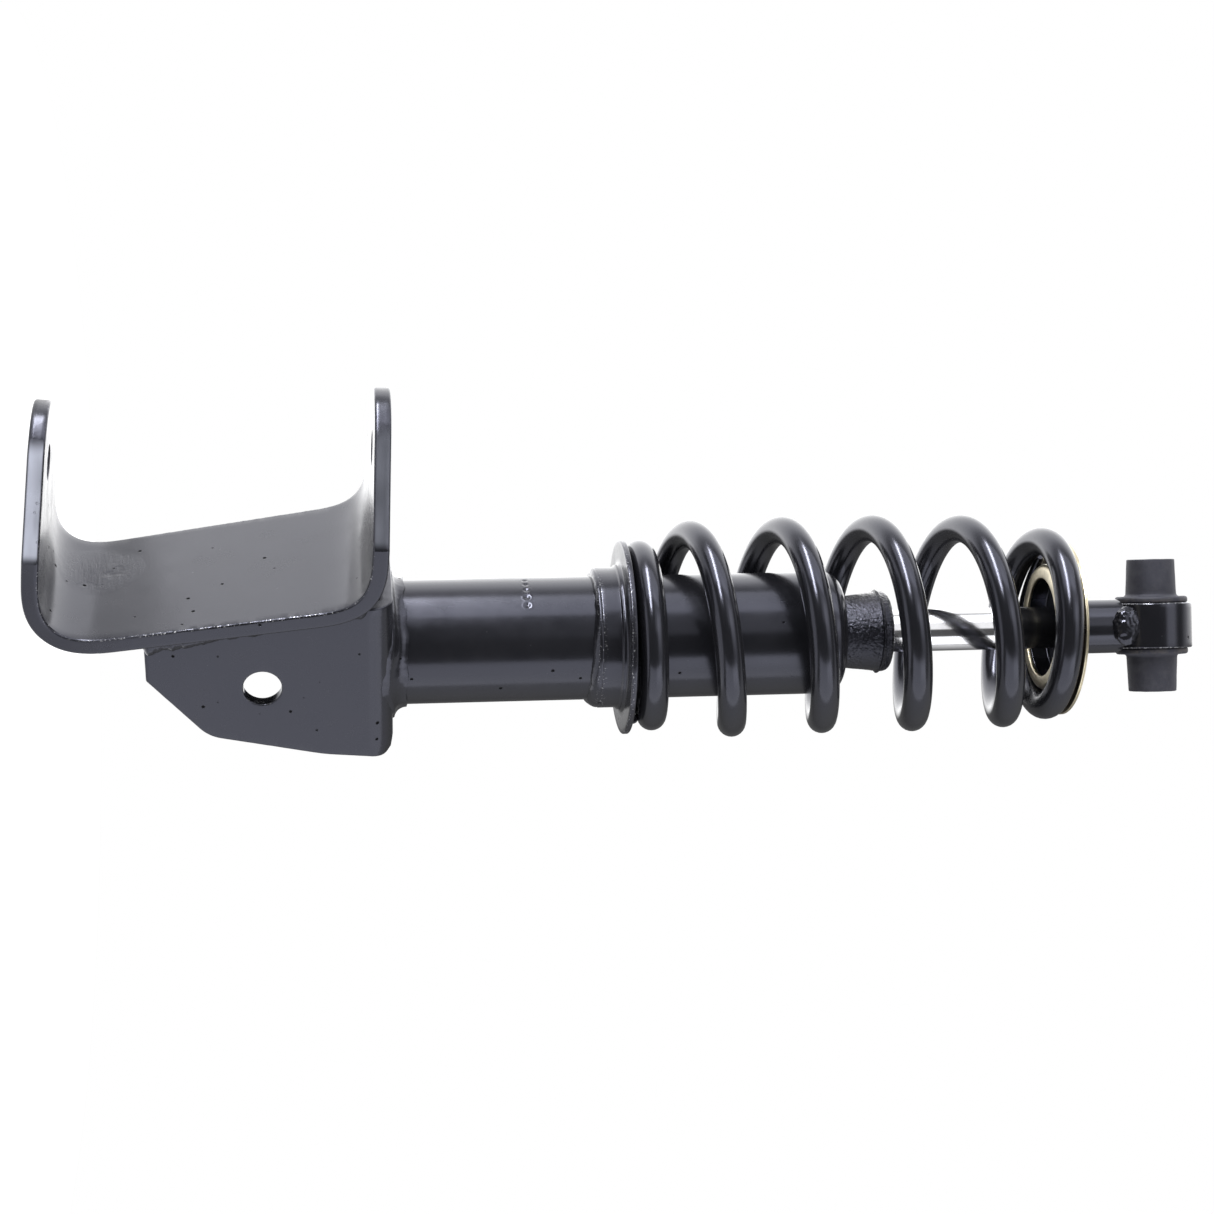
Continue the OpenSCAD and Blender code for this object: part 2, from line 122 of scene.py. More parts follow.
TUBE_R = high("damper_tube").x
TUBE_TOP = high("damper_tube").z
TUBE_BASE = low("damper_tube").z
TUBE_WALL = 2.2
TUBE_ROLL_R = 6.0
TUBE_MOUTH_R = 14.0
ROD_R = high("piston_rod").x

PLATE_T = 6.0
EAR_LOW_HALF = 35.5
EAR_HIGH_HALF = high("kingpin_bracket").y
EAR_TIP_R = 22.3
EAR_LOW_LEAN = math.radians(5.5)
EAR_HIGH_LEAN = math.radians(2.5)
KINGPIN_R = 6.1
KINGPIN_REACH = 81.8
KINGPIN_LEAN = math.radians(1.85)
LOW_CORNER = Vector((-79.0, 23.1))
HIGH_CORNER = Vector((39.6, 39.6))
BEND_R = 14.0
LOW_TAPER = 57.8
HIGH_TAPER = 63.2
EAR_REACH = 120.0
LOW_EAR_Z = -76.0
HIGH_EAR_Z = 44.0
PLATE_EASE = 9.0

ARM_T = 5.0
ARM_HALF = high("arm_bracket").y
ARM_TOP = 33.0
ARM_WALL_Z = high("arm_end_wall").z
ARM_LEFT_Z = low("arm_bracket").z
ARM_BEND_R = 3.0
ARM_OUTER_R = ARM_BEND_R + ARM_T
ARM_FOOT = -32.7
ARM_CORNER_R = 4.5
ARM_BORE_R = 7.1
TUBE_WELD_LEG = 5.2

SEAT_TOP = high("lower_spring_seat").z
SEAT_R = high("lower_spring_seat").x
SEAT_T = 2.2
HUB_R = 27.1
HUB_Z = low("lower_spring_seat").z
HUB_LIP = 0.8
HUB_WELD_WIDE = 3.1
HUB_WELD_TALL = 1.5

STOP_BASE = low("bump_stop").z
STOP_TOP = high("bump_stop").z
STOP_R = high("bump_stop").x
STOP_FOOT_R = 13.9
STOP_TOP_R = 15.4
STOP_LIP_Z = STOP_BASE + 14.6

WIRE_R = 5.5
TIP_R = 2.0
THIN_R = 1.6
COIL_END_R = 31.6
COIL_MID_R = 37.1
COIL_TOP_R = 32.1
COIL_PITCH = 36.0
COIL_BOW = 2.6
COIL_TILT = 0.045
BOW_ANGLE = math.radians(149)
TURN_FIRST = -0.52
TURN_LAST = 5.91
BOW_FIRST = -0.38
BOW_LAST = 5.62
START_SHIFT = 0.7
END_SHIFT = 0.5
CLIMB_END = 0.95
CLOSE_START = 4.75
CLOSE_END = 5.2

SEAT_TILT = math.radians(1.2)
UPPER_SEAT_Z = 311.7
UPPER_SEAT_R = 34.5
SHEET = 0.6
FLANGE_TOP = UPPER_SEAT_Z + SHEET
HAT_Z = 304.5
HAT_R = 25.0
HAT_T = 1.6
HAT_HOLE_R = 19.3
CUP_Z = high("seat_retainer").z - 2.0
STEM_Z = high("seat_retainer").z
STEM_R = high("rod_stem").x

EYE_Z = 350.2
EYE_R = 15.7
EYE_IN_R = 12.8
EYE_HALF = 8.9
EYE_TURN = math.radians(-31)
EYE_WELD_ASIDE = 10.4
EYE_WELD_DOWN = 13.8
EYE_WELD_SIZE = (7.6, 3.6, 5.6)
BUSH_HALF = 26.2
FLANGE_R = 14.1
FLANGE_T = 2.5
BOSS_ROOT_R = 9.9
BOSS_TIP_R = 9.3
SLEEVE_R = 6.95
SLEEVE_BORE_R = 5.1
SLEEVE_HALF = 26.0


# ---- Mesh helpers ----


def clamp01(x):
    return min(1.0, max(0.0, x))


def smooth(x):
    x = clamp01(x)
    return x * x * (3 - 2 * x)


def lumps(x, y, z, size):
    """Smooth noise from -1 to 1 whose lumps are about size millimetres across."""
    return field.noise(Vector((x, y, z)) / size)


def piece(name, points, faces, body, slot, replaced, crease=38, wear_and_sheen=None):
    """One finished mesh object from points in millimetres, riding on a CAD body."""
    mesh = bpy.data.meshes.new(name)
    mesh.from_pydata([Vector(p) * MM for p in points], [], faces)
    # The attribute holds wear above 0 and a painted sheen below 0
    if wear_and_sheen is not None:
        worn_and_sheened = mesh.attributes.new("wear_and_sheen", "FLOAT", "POINT")
        worn_and_sheened.data.foreach_set("value", wear_and_sheen)
    work = bmesh.new()
    work.from_mesh(mesh)
    bmesh.ops.recalc_face_normals(work, faces=work.faces)
    work.to_mesh(mesh)
    work.free()
    mesh.shade_smooth()
    mesh.set_sharp_from_angle(angle=math.radians(crease))
    mesh.materials.append(LOOKS[slot])
    made = bpy.data.objects.new(name, mesh)
    bpy.context.scene.collection.objects.link(made)
    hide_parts(*replaced)
    if body:
        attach(made, body)
    return made


def rounded(points, radii, steps=6):
    """A polygon's corners rounded to the given radii; a radius of 0 keeps the corner."""
    out = []
    count = len(points)
    for i, radius in enumerate(radii):
        p = Vector(points[i])
        if radius <= 0:
            out.append(p)
            continue
        u = (Vector(points[i - 1]) - p).normalized()
        v = (Vector(points[(i + 1) % count]) - p).normalized()
        half = math.acos(max(-1.0, min(1.0, u.dot(v)))) / 2
        middle = p + (u + v).normalized() * radius / math.sin(half)
        start = p + u * radius / math.tan(half) - middle
        end = p + v * radius / math.tan(half) - middle
        a = math.atan2(start.y, start.x)
        sweep = (math.atan2(end.y, end.x) - a + math.pi) % (2 * math.pi) - math.pi
        for k in range(steps + 1):
            turn = a + sweep * k / steps
            out.append(middle + radius * ray(turn))
    return out


def refined(points, spacing, closed=True):
    """The same line with points no further apart than spacing."""
    out = []
    count = len(points)
    for i in range(count if closed else count - 1):
        a = Vector(points[i])
        b = Vector(points[(i + 1) % count])
        parts = max(1, math.ceil((b - a).length / spacing))
        out.extend(a.lerp(b, k / parts) for k in range(parts))
    if not closed:
        out.append(Vector(points[-1]))
    return out


def band(a, b):
    """Faces between two closed rows of points."""
    count = len(a)
    return [(a[k], b[k], b[(k + 1) % count], a[(k + 1) % count]) for k in range(count)]


def ring_faces(count, size):
    """Faces of count rows of size points each, with the last row joined to the first."""
    rows = [range(size * i, size * (i + 1)) for i in range(count)]
    return [face for a, b in zip(rows, rows[1:] + rows[:1]) for face in band(a, b)]


def swept_faces(count, size):
    """Faces of count rows of size points each, with a cap on the first row and on the last."""
    faces = ring_faces(count, size)[:-size]
    last = size * (count - 1)
    return faces + [tuple(reversed(range(size))), tuple(range(last, last + size))]


def ray(angle):
    """Unit vector of a flat angle."""
    return Vector((math.cos(angle), math.sin(angle)))


def round_lumps(angle, r, z, size):
    """The lumps at a point given by its angle and distance from the axis."""
    return lumps(r * math.cos(angle), r * math.sin(angle), z, size)


def lathe(name, profile, body, slot, replaced, segments, shape=None, place=None, wear_and_sheen=None,
          crease=38):
    """Makes a piece from a closed (radius, height) profile turned about the Z axis.

    shape(angle, r, z) moves a point of the turned profile, wear_and_sheen(angle, r, z) gives
    its wear, and place puts the piece where it belongs.
    """
    points = []
    worn_and_sheened = []
    for i in range(segments):
        angle = 2 * math.pi * i / segments
        for r, z in profile:
            if shape:
                r, z = shape(angle, r, z)
            worn_and_sheened.append(wear_and_sheen(angle, r, z) if wear_and_sheen else 0.0)
            point = Vector((r * math.cos(angle), r * math.sin(angle), z))
            points.append(place @ point if place else point)
    faces = ring_faces(segments, len(profile))
    piece(name, points, faces, body, slot, replaced, crease, worn_and_sheened)


def inside(point, loop):
    """True where a flat point lies inside a closed loop."""
    x, y = point
    hit = False
    before = loop[-1]
    for here in loop:
        if (here[1] > y) != (before[1] > y):
            cross = (before[0] - here[0]) * (y - here[1]) / (before[1] - here[1]) + here[0]
            if x < cross:
                hit = not hit
        before = here
    return hit


def circle(middle, radius, spacing):
    count = max(24, math.ceil(2 * math.pi * radius / spacing))
    return [Vector(middle) + radius * ray(2 * math.pi * k / count) for k in range(count)]


def outward(loop, sign):
    """Unit normals of a loop's points that point away from the sheet."""
    out = []
    count = len(loop)
    for i in range(count):
        along = (loop[(i + 1) % count] - loop[i - 1]).normalized()
        out.append(Vector((along.y, -along.x)) * sign)
    return out


def signed_area(loop):
    return sum(a.x * b.y - b.x * a.y for a, b in zip(loop, loop[1:] + loop[:1])) / 2


def flat_mesh(loops, grid):
    """Points and triangles inside the first loop and outside the others, on a grid.

    The third result gives the point that each point of the loops has become.
    """
    flat_points = []
    edges = []
    for loop in loops:
        first = len(flat_points)
        flat_points.extend(loop)
        count = len(loop)
        edges.extend((first + i, first + (i + 1) % count) for i in range(count))
    border = list(flat_points)

    def in_plate(p):
        return inside(p, loops[0]) and not any(inside(p, hole) for hole in loops[1:])

    left = min(p.x for p in loops[0])
    foot = min(p.y for p in loops[0])
    columns = int((max(p.x for p in loops[0]) - left) / grid)
    rows = int((max(p.y for p in loops[0]) - foot) / grid)
    near = grid * 0.45
    for i in range(columns):
        for j in range(rows):
            p = Vector((left + grid * (i + 0.5), foot + grid * (j + 0.5)))
            if in_plate(p) and min((p - q).length_squared for q in border) >= near * near:
                flat_points.append(p)
    placed, _, triangles, sources, _, _ = delaunay_2d_cdt(flat_points, edges, [], 0, 1e-6)
    where = {source: i for i, found in enumerate(sources) for source in found}
    kept = [tuple(t) for t in triangles
            if in_plate(sum((placed[i] for i in t), Vector((0, 0))) / 3)]
    return placed, kept, where


def sheet_mesh(outline, holes, thickness, edge_r, grid, fold, rim):
    """Points, faces and wear values of a plate cut to an outline with holes and folded in place.

    fold(s, v, depth) puts a point of the flat plate in place, with depth from -thickness/2 to
    thickness/2. Every cut edge is rounded to edge_r. rim(s, v, depth, hole) moves a point of a
    cut edge: it gives an outward shift, a shift in depth and the wear value, which below 0 is a
    painted sheen instead.
    """
    loops = [(outline, math.copysign(1, signed_area(outline)), False)]
    loops += [(hole, -math.copysign(1, signed_area(hole)), True) for hole in holes]
    flats = []
    for loop, sign, is_hole in loops:
        normals = outward(loop, sign)
        inset = [p - n * edge_r for p, n in zip(loop, normals)]
        flats.append((inset, normals, is_hole))
    placed, kept, where = flat_mesh([inset for inset, _, _ in flats], grid)
    half = thickness / 2
    count = len(placed)
    points = [fold(p.x, p.y, half) for p in placed] + [fold(p.x, p.y, -half) for p in placed]
    wear_and_sheen = [0.0] * len(points)
    faces = kept + [tuple(i + count for i in reversed(t)) for t in kept]
    arc = 4
    stations = [(edge_r * math.sin(math.pi / 2 * k / arc), half - edge_r
                 + edge_r * math.cos(math.pi / 2 * k / arc)) for k in range(1, arc + 1)]
    middle_rows = [(edge_r, (half - edge_r) * share) for share in (0.5, 0.0, -0.5)]
    stations += middle_rows + [(out, -depth) for out, depth in reversed(stations)]
    first = 0
    for inset, normals, is_hole in flats:
        size = len(inset)
        before = [where[first + i] for i in range(size)]
        for out, depth in stations:
            row = []
            for p, n in zip(inset, normals):
                spot = p + n * out
                shift, lift, worn_and_sheened = rim(spot.x, spot.y, depth, is_hole)
                spot = spot + n * shift
                row.append(len(points))
                points.append(fold(spot.x, spot.y, depth + lift))
                wear_and_sheen.append(worn_and_sheened)
            faces.extend(band(before, row))
            before = row
        faces.extend(band(before, [where[first + i] + count for i in range(size)]))
        first += size
    return points, faces, wear_and_sheen


class FoldLine:
    """Middle line of a folded plate: straights and bends, walked from a start point."""

    def __init__(self, start, heading, moves):
        self.parts = []
        here = Vector(start)
        angle = math.atan2(heading[1], heading[0])
        done = 0.0
        for length, turn in moves:
            self.parts.append((done, length, here.copy(), angle, turn))
            here, angle = self.walk(here, angle, length, turn, length)
            done += length
        self.length = done

    @staticmethod
    def walk(here, angle, length, turn, s):
        if not turn:
            return here + s * ray(angle), angle
        radius = length / turn
        now = angle + s / radius
        shift = Vector((math.sin(now) - math.sin(angle), math.cos(angle) - math.cos(now)))
        return here + radius * shift, now

    def at(self, s):
        """Place and left-hand normal at a distance along the line."""
        part = self.parts[0]
        for candidate in self.parts:
            if s >= candidate[0]:
                part = candidate
        done, length, here, angle, turn = part
        here, angle = self.walk(here, angle, length, turn, s - done)
        return here, Vector((-math.sin(angle), math.cos(angle)))

    def eased(self, s, reach):
        """The same, with the start and end of each bend eased over reach on both sides."""
        near = [self.at(s + reach * k / 3) for k in range(-3, 4)]
        here = sum((p for p, _ in near), Vector((0, 0))) / 7
        return here, sum((n for _, n in near), Vector((0, 0))).normalized()


# ---- Materials ----


class Graph:
    """Holds the node tree that new nodes are put into."""

    tree = None


class Value:
    """A node's output, made so that sums and products of outputs can be written plainly."""

    def __init__(self, socket):
        self.socket = socket

    def __add__(self, other):
        return maths("ADD", self, other)

    def __mul__(self, other):
        return maths("MULTIPLY", self, other)

    def __sub__(self, other):
        return maths("SUBTRACT", self, other)

    def __rsub__(self, other):
        return maths("SUBTRACT", other, self)

    __rmul__ = __mul__


def feed(socket, value):
    """Links an output to a node's input, or sets the input to a number, vector or colour."""
    if isinstance(value, Value):
        Graph.tree.links.new(value.socket, socket)
    else:
        socket.default_value = value


def put(kind, output, inputs=None, **settings):
    """The named output of a new node."""
    made = Graph.tree.nodes.new(kind)
    for key, value in settings.items():
        setattr(made, key, value)
    for key, value in (inputs or {}).items():
        feed(made.inputs[key], value)
    return Value(made.outputs[output])


def grain(here, size_mm, detail=3.0, rough=0.5, stretch=None):
    """Noise from 0 to 1 whose grain is about size_mm across."""
    if stretch:
        here = put("ShaderNodeMapping", 0, {"Vector": here, "Scale": stretch})
    inputs = {"Vector": here, "Scale": 1 / (size_mm * MM), "Detail": detail, "Roughness": rough}
    return put("ShaderNodeTexNoise", "Fac", inputs)


def cells(here, spacing_mm):
    """Distance to the middle of scattered cells, in cell widths."""
    inputs = {"Vector": here, "Scale": 1 / (spacing_mm * MM)}
    return put("ShaderNodeTexVoronoi", "Distance", inputs)


def specks(here, spacing_mm, radius_mm, soft_mm=0.15):
    """Round specks, one in every cell of spacing_mm, as a mask from 0 to 1."""
    far = radius_mm / spacing_mm
    return between(cells(here, spacing_mm), far, far - soft_mm / spacing_mm)


def between(value, a, b, to_a=0.0, to_b=1.0):
    """to_a where the value is at a, to_b where it is at b, and no further than either."""
    inputs = {"Value": value, "From Min": a, "From Max": b, "To Min": to_a, "To Max": to_b}
    return put("ShaderNodeMapRange", 0, inputs)


def maths(kind, a, b):
    return put("ShaderNodeMath", 0, {0: a, 1: b}, operation=kind)


def blend(share, a, b):
    """Colour a where share is 0 and colour b where it is 1."""
    return put("ShaderNodeMix", 2, {0: share, 6: a, 7: b}, data_type="RGBA")


def raised(height, depth_mm, normal=None):
    """Bump of a height from 0 to 1 that is depth_mm deep."""
    inputs = {"Height": height, "Distance": depth_mm * MM, "Strength": 1.0}
    if normal:
        inputs["Normal"] = normal
    return put("ShaderNodeBump", 0, inputs)


def start(name):
    """A new material with its shader, and the place of a point on the object."""
    look = bpy.data.materials.new(name)
    look.use_nodes = True
    Graph.tree = look.node_tree
    return look, Graph.tree.nodes["Principled BSDF"], put("ShaderNodeTexCoord", "Object")


def wire(shader, **inputs):
    """Feeds the shader's inputs by name, with _ for a space."""
    for key, value in inputs.items():
        feed(shader.inputs[key.replace("_", " ")], value)


def paint(name, gloss, satin, peel_mm, peel_depth, nibs_mm, pits_mm, chips, scuff=None):
    """Black paint: orange peel, dust nibs, pits and dull patches.

    Where the wear value is above 0 the paint is chipped, and where it is below 0 the value is a
    pale painted sheen instead, a painted reflection on the bracket ears' faces. The pits are
    darkened with painted shade. Streaks lie round the scuff's place.
    """
    look, shader, here = start(name)
    peel = grain(here, peel_mm, 2.0)
    broad = grain(here, 14.0, 4.0, 0.6)
    fine = grain(here, 0.35, 2.0)
    nibs = specks(here, nibs_mm, 0.32)
    dust = specks(here, nibs_mm * 0.62, 0.13, 0.08)
    pits = specks(here, pits_mm, 0.75, 0.25)
    wear_and_sheen = put("ShaderNodeAttribute", "Fac", attribute_name="wear_and_sheen")
    # The part of the wear value below 0 is the mask of a painted sheen
    painted_sheen = maths("MAXIMUM", 0.0 - wear_and_sheen, 0.0)
    chipped = maths("MAXIMUM", wear_and_sheen, 0.0)
    chipped = chipped * between(grain(here, 0.8, 3.0, 0.6), chips, chips + 0.06)
    tint = blend(between(broad, 0.35, 0.7, 0.0, 0.5), BLACK, SOOT)
    tint = blend(0.3 * dust, tint, DUST)
    # The pits are darkened with painted shade
    tint = blend(0.8 * pits, tint, PIT_SHADE)
    # Painted sheen: a pale painted reflection on the bracket ears' faces
    tint = blend(painted_sheen, tint, PAINTED_SHEEN)
    tint = blend(chipped, tint, BARE)
    rough = between(broad, 0.3, 0.7, gloss, satin) + between(fine, 0.35, 0.7, -0.015, 0.03)
    rough = rough + 0.25 * dust + 0.5 * pits
    bump = raised(peel, peel_depth)
    bump = raised(nibs, 0.08, bump)
    bump = raised(1.0 - pits, 0.5, bump)
    if scuff:
        streaks = grain(here, 1.2, 4.0, 0.7, (1.0, 0.12, 1.0))
        away = put("ShaderNodeVectorMath", "Value", {0: here, 1: scuff}, operation="DISTANCE")
        rubbed = between(away, 17 * MM, 5 * MM) * between(broad, 0.28, 0.5)
        bump = raised(rubbed * streaks, 0.5, bump)
        rough = rough + 0.12 * rubbed
    wire(shader, Base_Color=tint, Roughness=rough, Normal=bump, Metallic=0.85 * chipped,
         Specular_IOR_Level=0.5 - 0.45 * pits, Specular_Tint=BLUE_SHEEN)
    return look


def rubber(name, base, bloomed, gloss, satin, grain_mm, depth_mm):
    """Moulded rubber: pebbled skin, pale bloom in patches and small dust specks."""
    look, shader, here = start(name)
    height = 0.5 * cells(here, grain_mm) + grain(here, grain_mm * 1.6, 4.0, 0.65)
    bloom = between(grain(here, 5.0, 5.0, 0.65), 0.42, 0.72)
    dust = specks(here, 3.4, 0.16, 0.1)
    wear_and_sheen = put("ShaderNodeAttribute", "Fac", attribute_name="wear_and_sheen")
    tint = blend(bloom, base, bloomed)
    tint = blend(wear_and_sheen * bloom, tint, DRIED)
    tint = blend(0.35 * dust, tint, DUST_ON_RUBBER)
    wire(shader, Base_Color=tint, Roughness=between(bloom, 0, 1, gloss, satin),
         Normal=raised(height, depth_mm), Specular_IOR_Level=0.4, Specular_Tint=BLUE_SHEEN)
    return look


def plated(name, base, clouded, gloss, satin, lines_mm, depth_mm):
    """Plated or bare steel: fine turning lines, cloudy tint and stains."""
    look, shader, here = start(name)
    lines = grain(here, lines_mm, 2.0, 0.5, (0.15, 0.15, 1.0))
    cloud = grain(here, 7.0, 5.0, 0.6)
    stain = specks(here, 6.0, 0.5, 0.5)
    tint = blend(between(cloud, 0.35, 0.68), base, clouded)
    tint = blend(0.35 * stain, tint, STAIN)
    rough = between(cloud, 0.3, 0.7, gloss, satin) + between(lines, 0.3, 0.7, 0.0, 0.06)
    wire(shader, Base_Color=tint, Roughness=rough, Metallic=1.0, Normal=raised(lines, depth_mm))
    return look


def chrome_rod(name, painted_from_mm):
    """Hard chrome with fine grinding lines, overpainted black near the stem."""
    look, shader, here = start(name)
    lines = grain(here, 0.25, 2.0, 0.5, (0.1, 0.1, 1.0))
    haze = grain(here, 10.0, 4.0, 0.6)
    ragged = grain(here, 3.0, 4.0) * (6 * MM) + put("ShaderNodeSeparateXYZ", "Z", {0: here})
    edge = (painted_from_mm + 3.0) * MM
    painted = between(ragged, edge, edge + 0.6 * MM)
    tint = blend(between(haze, 0.3, 0.7), CHROME, CHROME_HAZE)
    wire(shader, Base_Color=blend(painted, tint, BLACK), Metallic=1.0 - painted,
         Roughness=0.08 * painted + between(haze, 0.3, 0.7, 0.10, 0.16),
         Normal=raised(lines, 0.0015))
    return look


# Roughness where glossy and where dull, size and depth of the orange peel, spacing of nibs and
# pits, how rare the chips are, and the place of the scuff
PAINTS = {
    "bracket_paint": (0.14, 0.28, 1.1, 0.010, 9.0, 9.0, 0.59, (-0.029, 0.012, -0.060)),
    "tube_paint": (0.17, 0.24, 1.4, 0.006, 9.0, 12.0, 0.60),
    "spring_paint": (0.16, 0.22, 1.6, 0.005, 11.0, 40.0, 0.50),
    "stem_paint": (0.12, 0.20, 1.2, 0.006, 9.0, 12.0, 0.50),
}
# Two colours, roughness where glossy and where dull, size and depth of the grain
RUBBERS = {
    "bump_rubber": ((0.006, 0.006, 0.008, 1), (0.016, 0.016, 0.020, 1), 0.09, 0.17, 0.95, 0.40),
    "bush_rubber": ((0.034, 0.034, 0.041, 1), (0.056, 0.055, 0.062, 1), 0.60, 0.76, 0.45, 0.05),
    "seal_rubber": ((0.016, 0.016, 0.017, 1), (0.024, 0.024, 0.024, 1), 0.45, 0.60, 0.50, 0.02),
    "band_plastic": ((0.36, 0.30, 0.20, 1), (0.42, 0.35, 0.25, 1), 0.40, 0.50, 0.60, 0.01),
}
# Two colours, roughness where glossy and where dull, width and depth of the turning lines
METALS = {
    "zinc_plate": ((0.60, 0.54, 0.40, 1), (0.44, 0.40, 0.30, 1), 0.24, 0.36, 0.60, 0.006),
    "bright_steel": ((0.66, 0.66, 0.67, 1), (0.52, 0.52, 0.53, 1), 0.22, 0.34, 0.40, 0.006),
    "valve_steel": ((0.50, 0.50, 0.52, 1), (0.36, 0.36, 0.40, 1), 0.20, 0.30, 0.30, 0.004),
    "sintered_iron": ((0.30, 0.29, 0.28, 1), (0.20, 0.20, 0.20, 1), 0.50, 0.65, 0.25, 0.030),
    "bush_bronze": ((0.60, 0.42, 0.24, 1), (0.46, 0.32, 0.20, 1), 0.30, 0.42, 0.40, 0.005),
}
LOOKS = {"hard_chrome": chrome_rod("hard_chrome", 290.0)}
for make, table in ((paint, PAINTS), (rubber, RUBBERS), (plated, METALS)):
    for look_name, values in table.items():
        LOOKS[look_name] = make(look_name, *values)


def slot_of(node):
    """Name of the record's material slot of a CAD node."""
    return next(p["material_slot"] for p in frame["record"]["subparts"] if p["node"] == node)


for node_name, node_object in frame["nodes"].items():
    node_object.data.materials.clear()
    node_object.data.materials.append(LOOKS[slot_of(node_name)])


# ---- Kingpin bracket ----

WEB_DIR = (HIGH_CORNER - LOW_CORNER).normalized()
LOW_EAR_DIR = Vector((math.sin(EAR_LOW_LEAN), math.cos(EAR_LOW_LEAN)))
HIGH_EAR_DIR = Vector((math.sin(EAR_HIGH_LEAN), math.cos(EAR_HIGH_LEAN)))
LOW_OPEN = LOW_EAR_DIR.angle(WEB_DIR)
HIGH_OPEN = HIGH_EAR_DIR.angle(-WEB_DIR)
LOW_TRIM = BEND_R / math.tan(LOW_OPEN / 2)
HIGH_TRIM = BEND_R / math.tan(HIGH_OPEN / 2)


def bracket_line():
    """Middle line of the bent plate in (height, reach), from the lower ear to the upper ear."""
    heading = -LOW_EAR_DIR
    left = Vector((-heading.y, heading.x))
    begin = LOW_CORNER + EAR_REACH * LOW_EAR_DIR - left * PLATE_T / 2
    web = (HIGH_CORNER - LOW_CORNER).length - LOW_TRIM - HIGH_TRIM
    middle_r = BEND_R + PLATE_T / 2
    low_turn = math.pi - LOW_OPEN
    high_turn = math.pi - HIGH_OPEN
    return FoldLine(begin, heading, [
        (EAR_REACH - LOW_TRIM, 0), (middle_r * low_turn, low_turn), (web, 0),
        (middle_r * high_turn, high_turn), (EAR_REACH - HIGH_TRIM, 0),
    ])


BRACKET = bracket_line()


def plate_half(z):
    """Half width of the bracket plate at a height on the strut axis."""
    return EAR_LOW_HALF + (EAR_HIGH_HALF - EAR_LOW_HALF) * clamp01((z - LOW_EAR_Z) / 114)


def kingpin_at(z):
    return KINGPIN_REACH + z * math.tan(KINGPIN_LEAN)


def ear_flank(half, taper, tip_reach):
    """Points from the ear's tip to where its flank meets the full width, as (reach, sideways)."""
    root = Vector((taper, half))
    tip = Vector((tip_reach, 0))
    away = root - tip
    touch = math.atan2(away.y, away.x) - math.acos(EAR_TIP_R / away.length)
    return [tip + EAR_TIP_R * ray(touch * k / 24) for k in range(25)] + [root]


def bracket_outline(spacing):
    """Flat outline of the plate, with its two ears, as (distance along, sideways)."""
    low_start = BRACKET.at(0)[0].y
    high_end = BRACKET.at(BRACKET.length)[0].y
    low_flank = ear_flank(EAR_LOW_HALF, LOW_TAPER, kingpin_at(LOW_EAR_Z))
    high_flank = ear_flank(EAR_HIGH_HALF, HIGH_TAPER, kingpin_at(HIGH_EAR_Z))
    side = [Vector(((low_start - p.x) / math.cos(EAR_LOW_LEAN), p.y)) for p in low_flank]
    begin = side[-1].x
    tail = [Vector((BRACKET.length - (high_end - p.x) / math.cos(EAR_HIGH_LEAN), p.y))
            for p in reversed(high_flank)]
    steps = 60
    for k in range(1, steps):
        s = begin + (tail[0].x - begin) * k / steps
        side.append(Vector((s, plate_half(BRACKET.at(s)[0].x))))
    side += tail
    other = [Vector((p.x, -p.y)) for p in reversed(side[1:-1])]
    return refined(side + other, spacing)


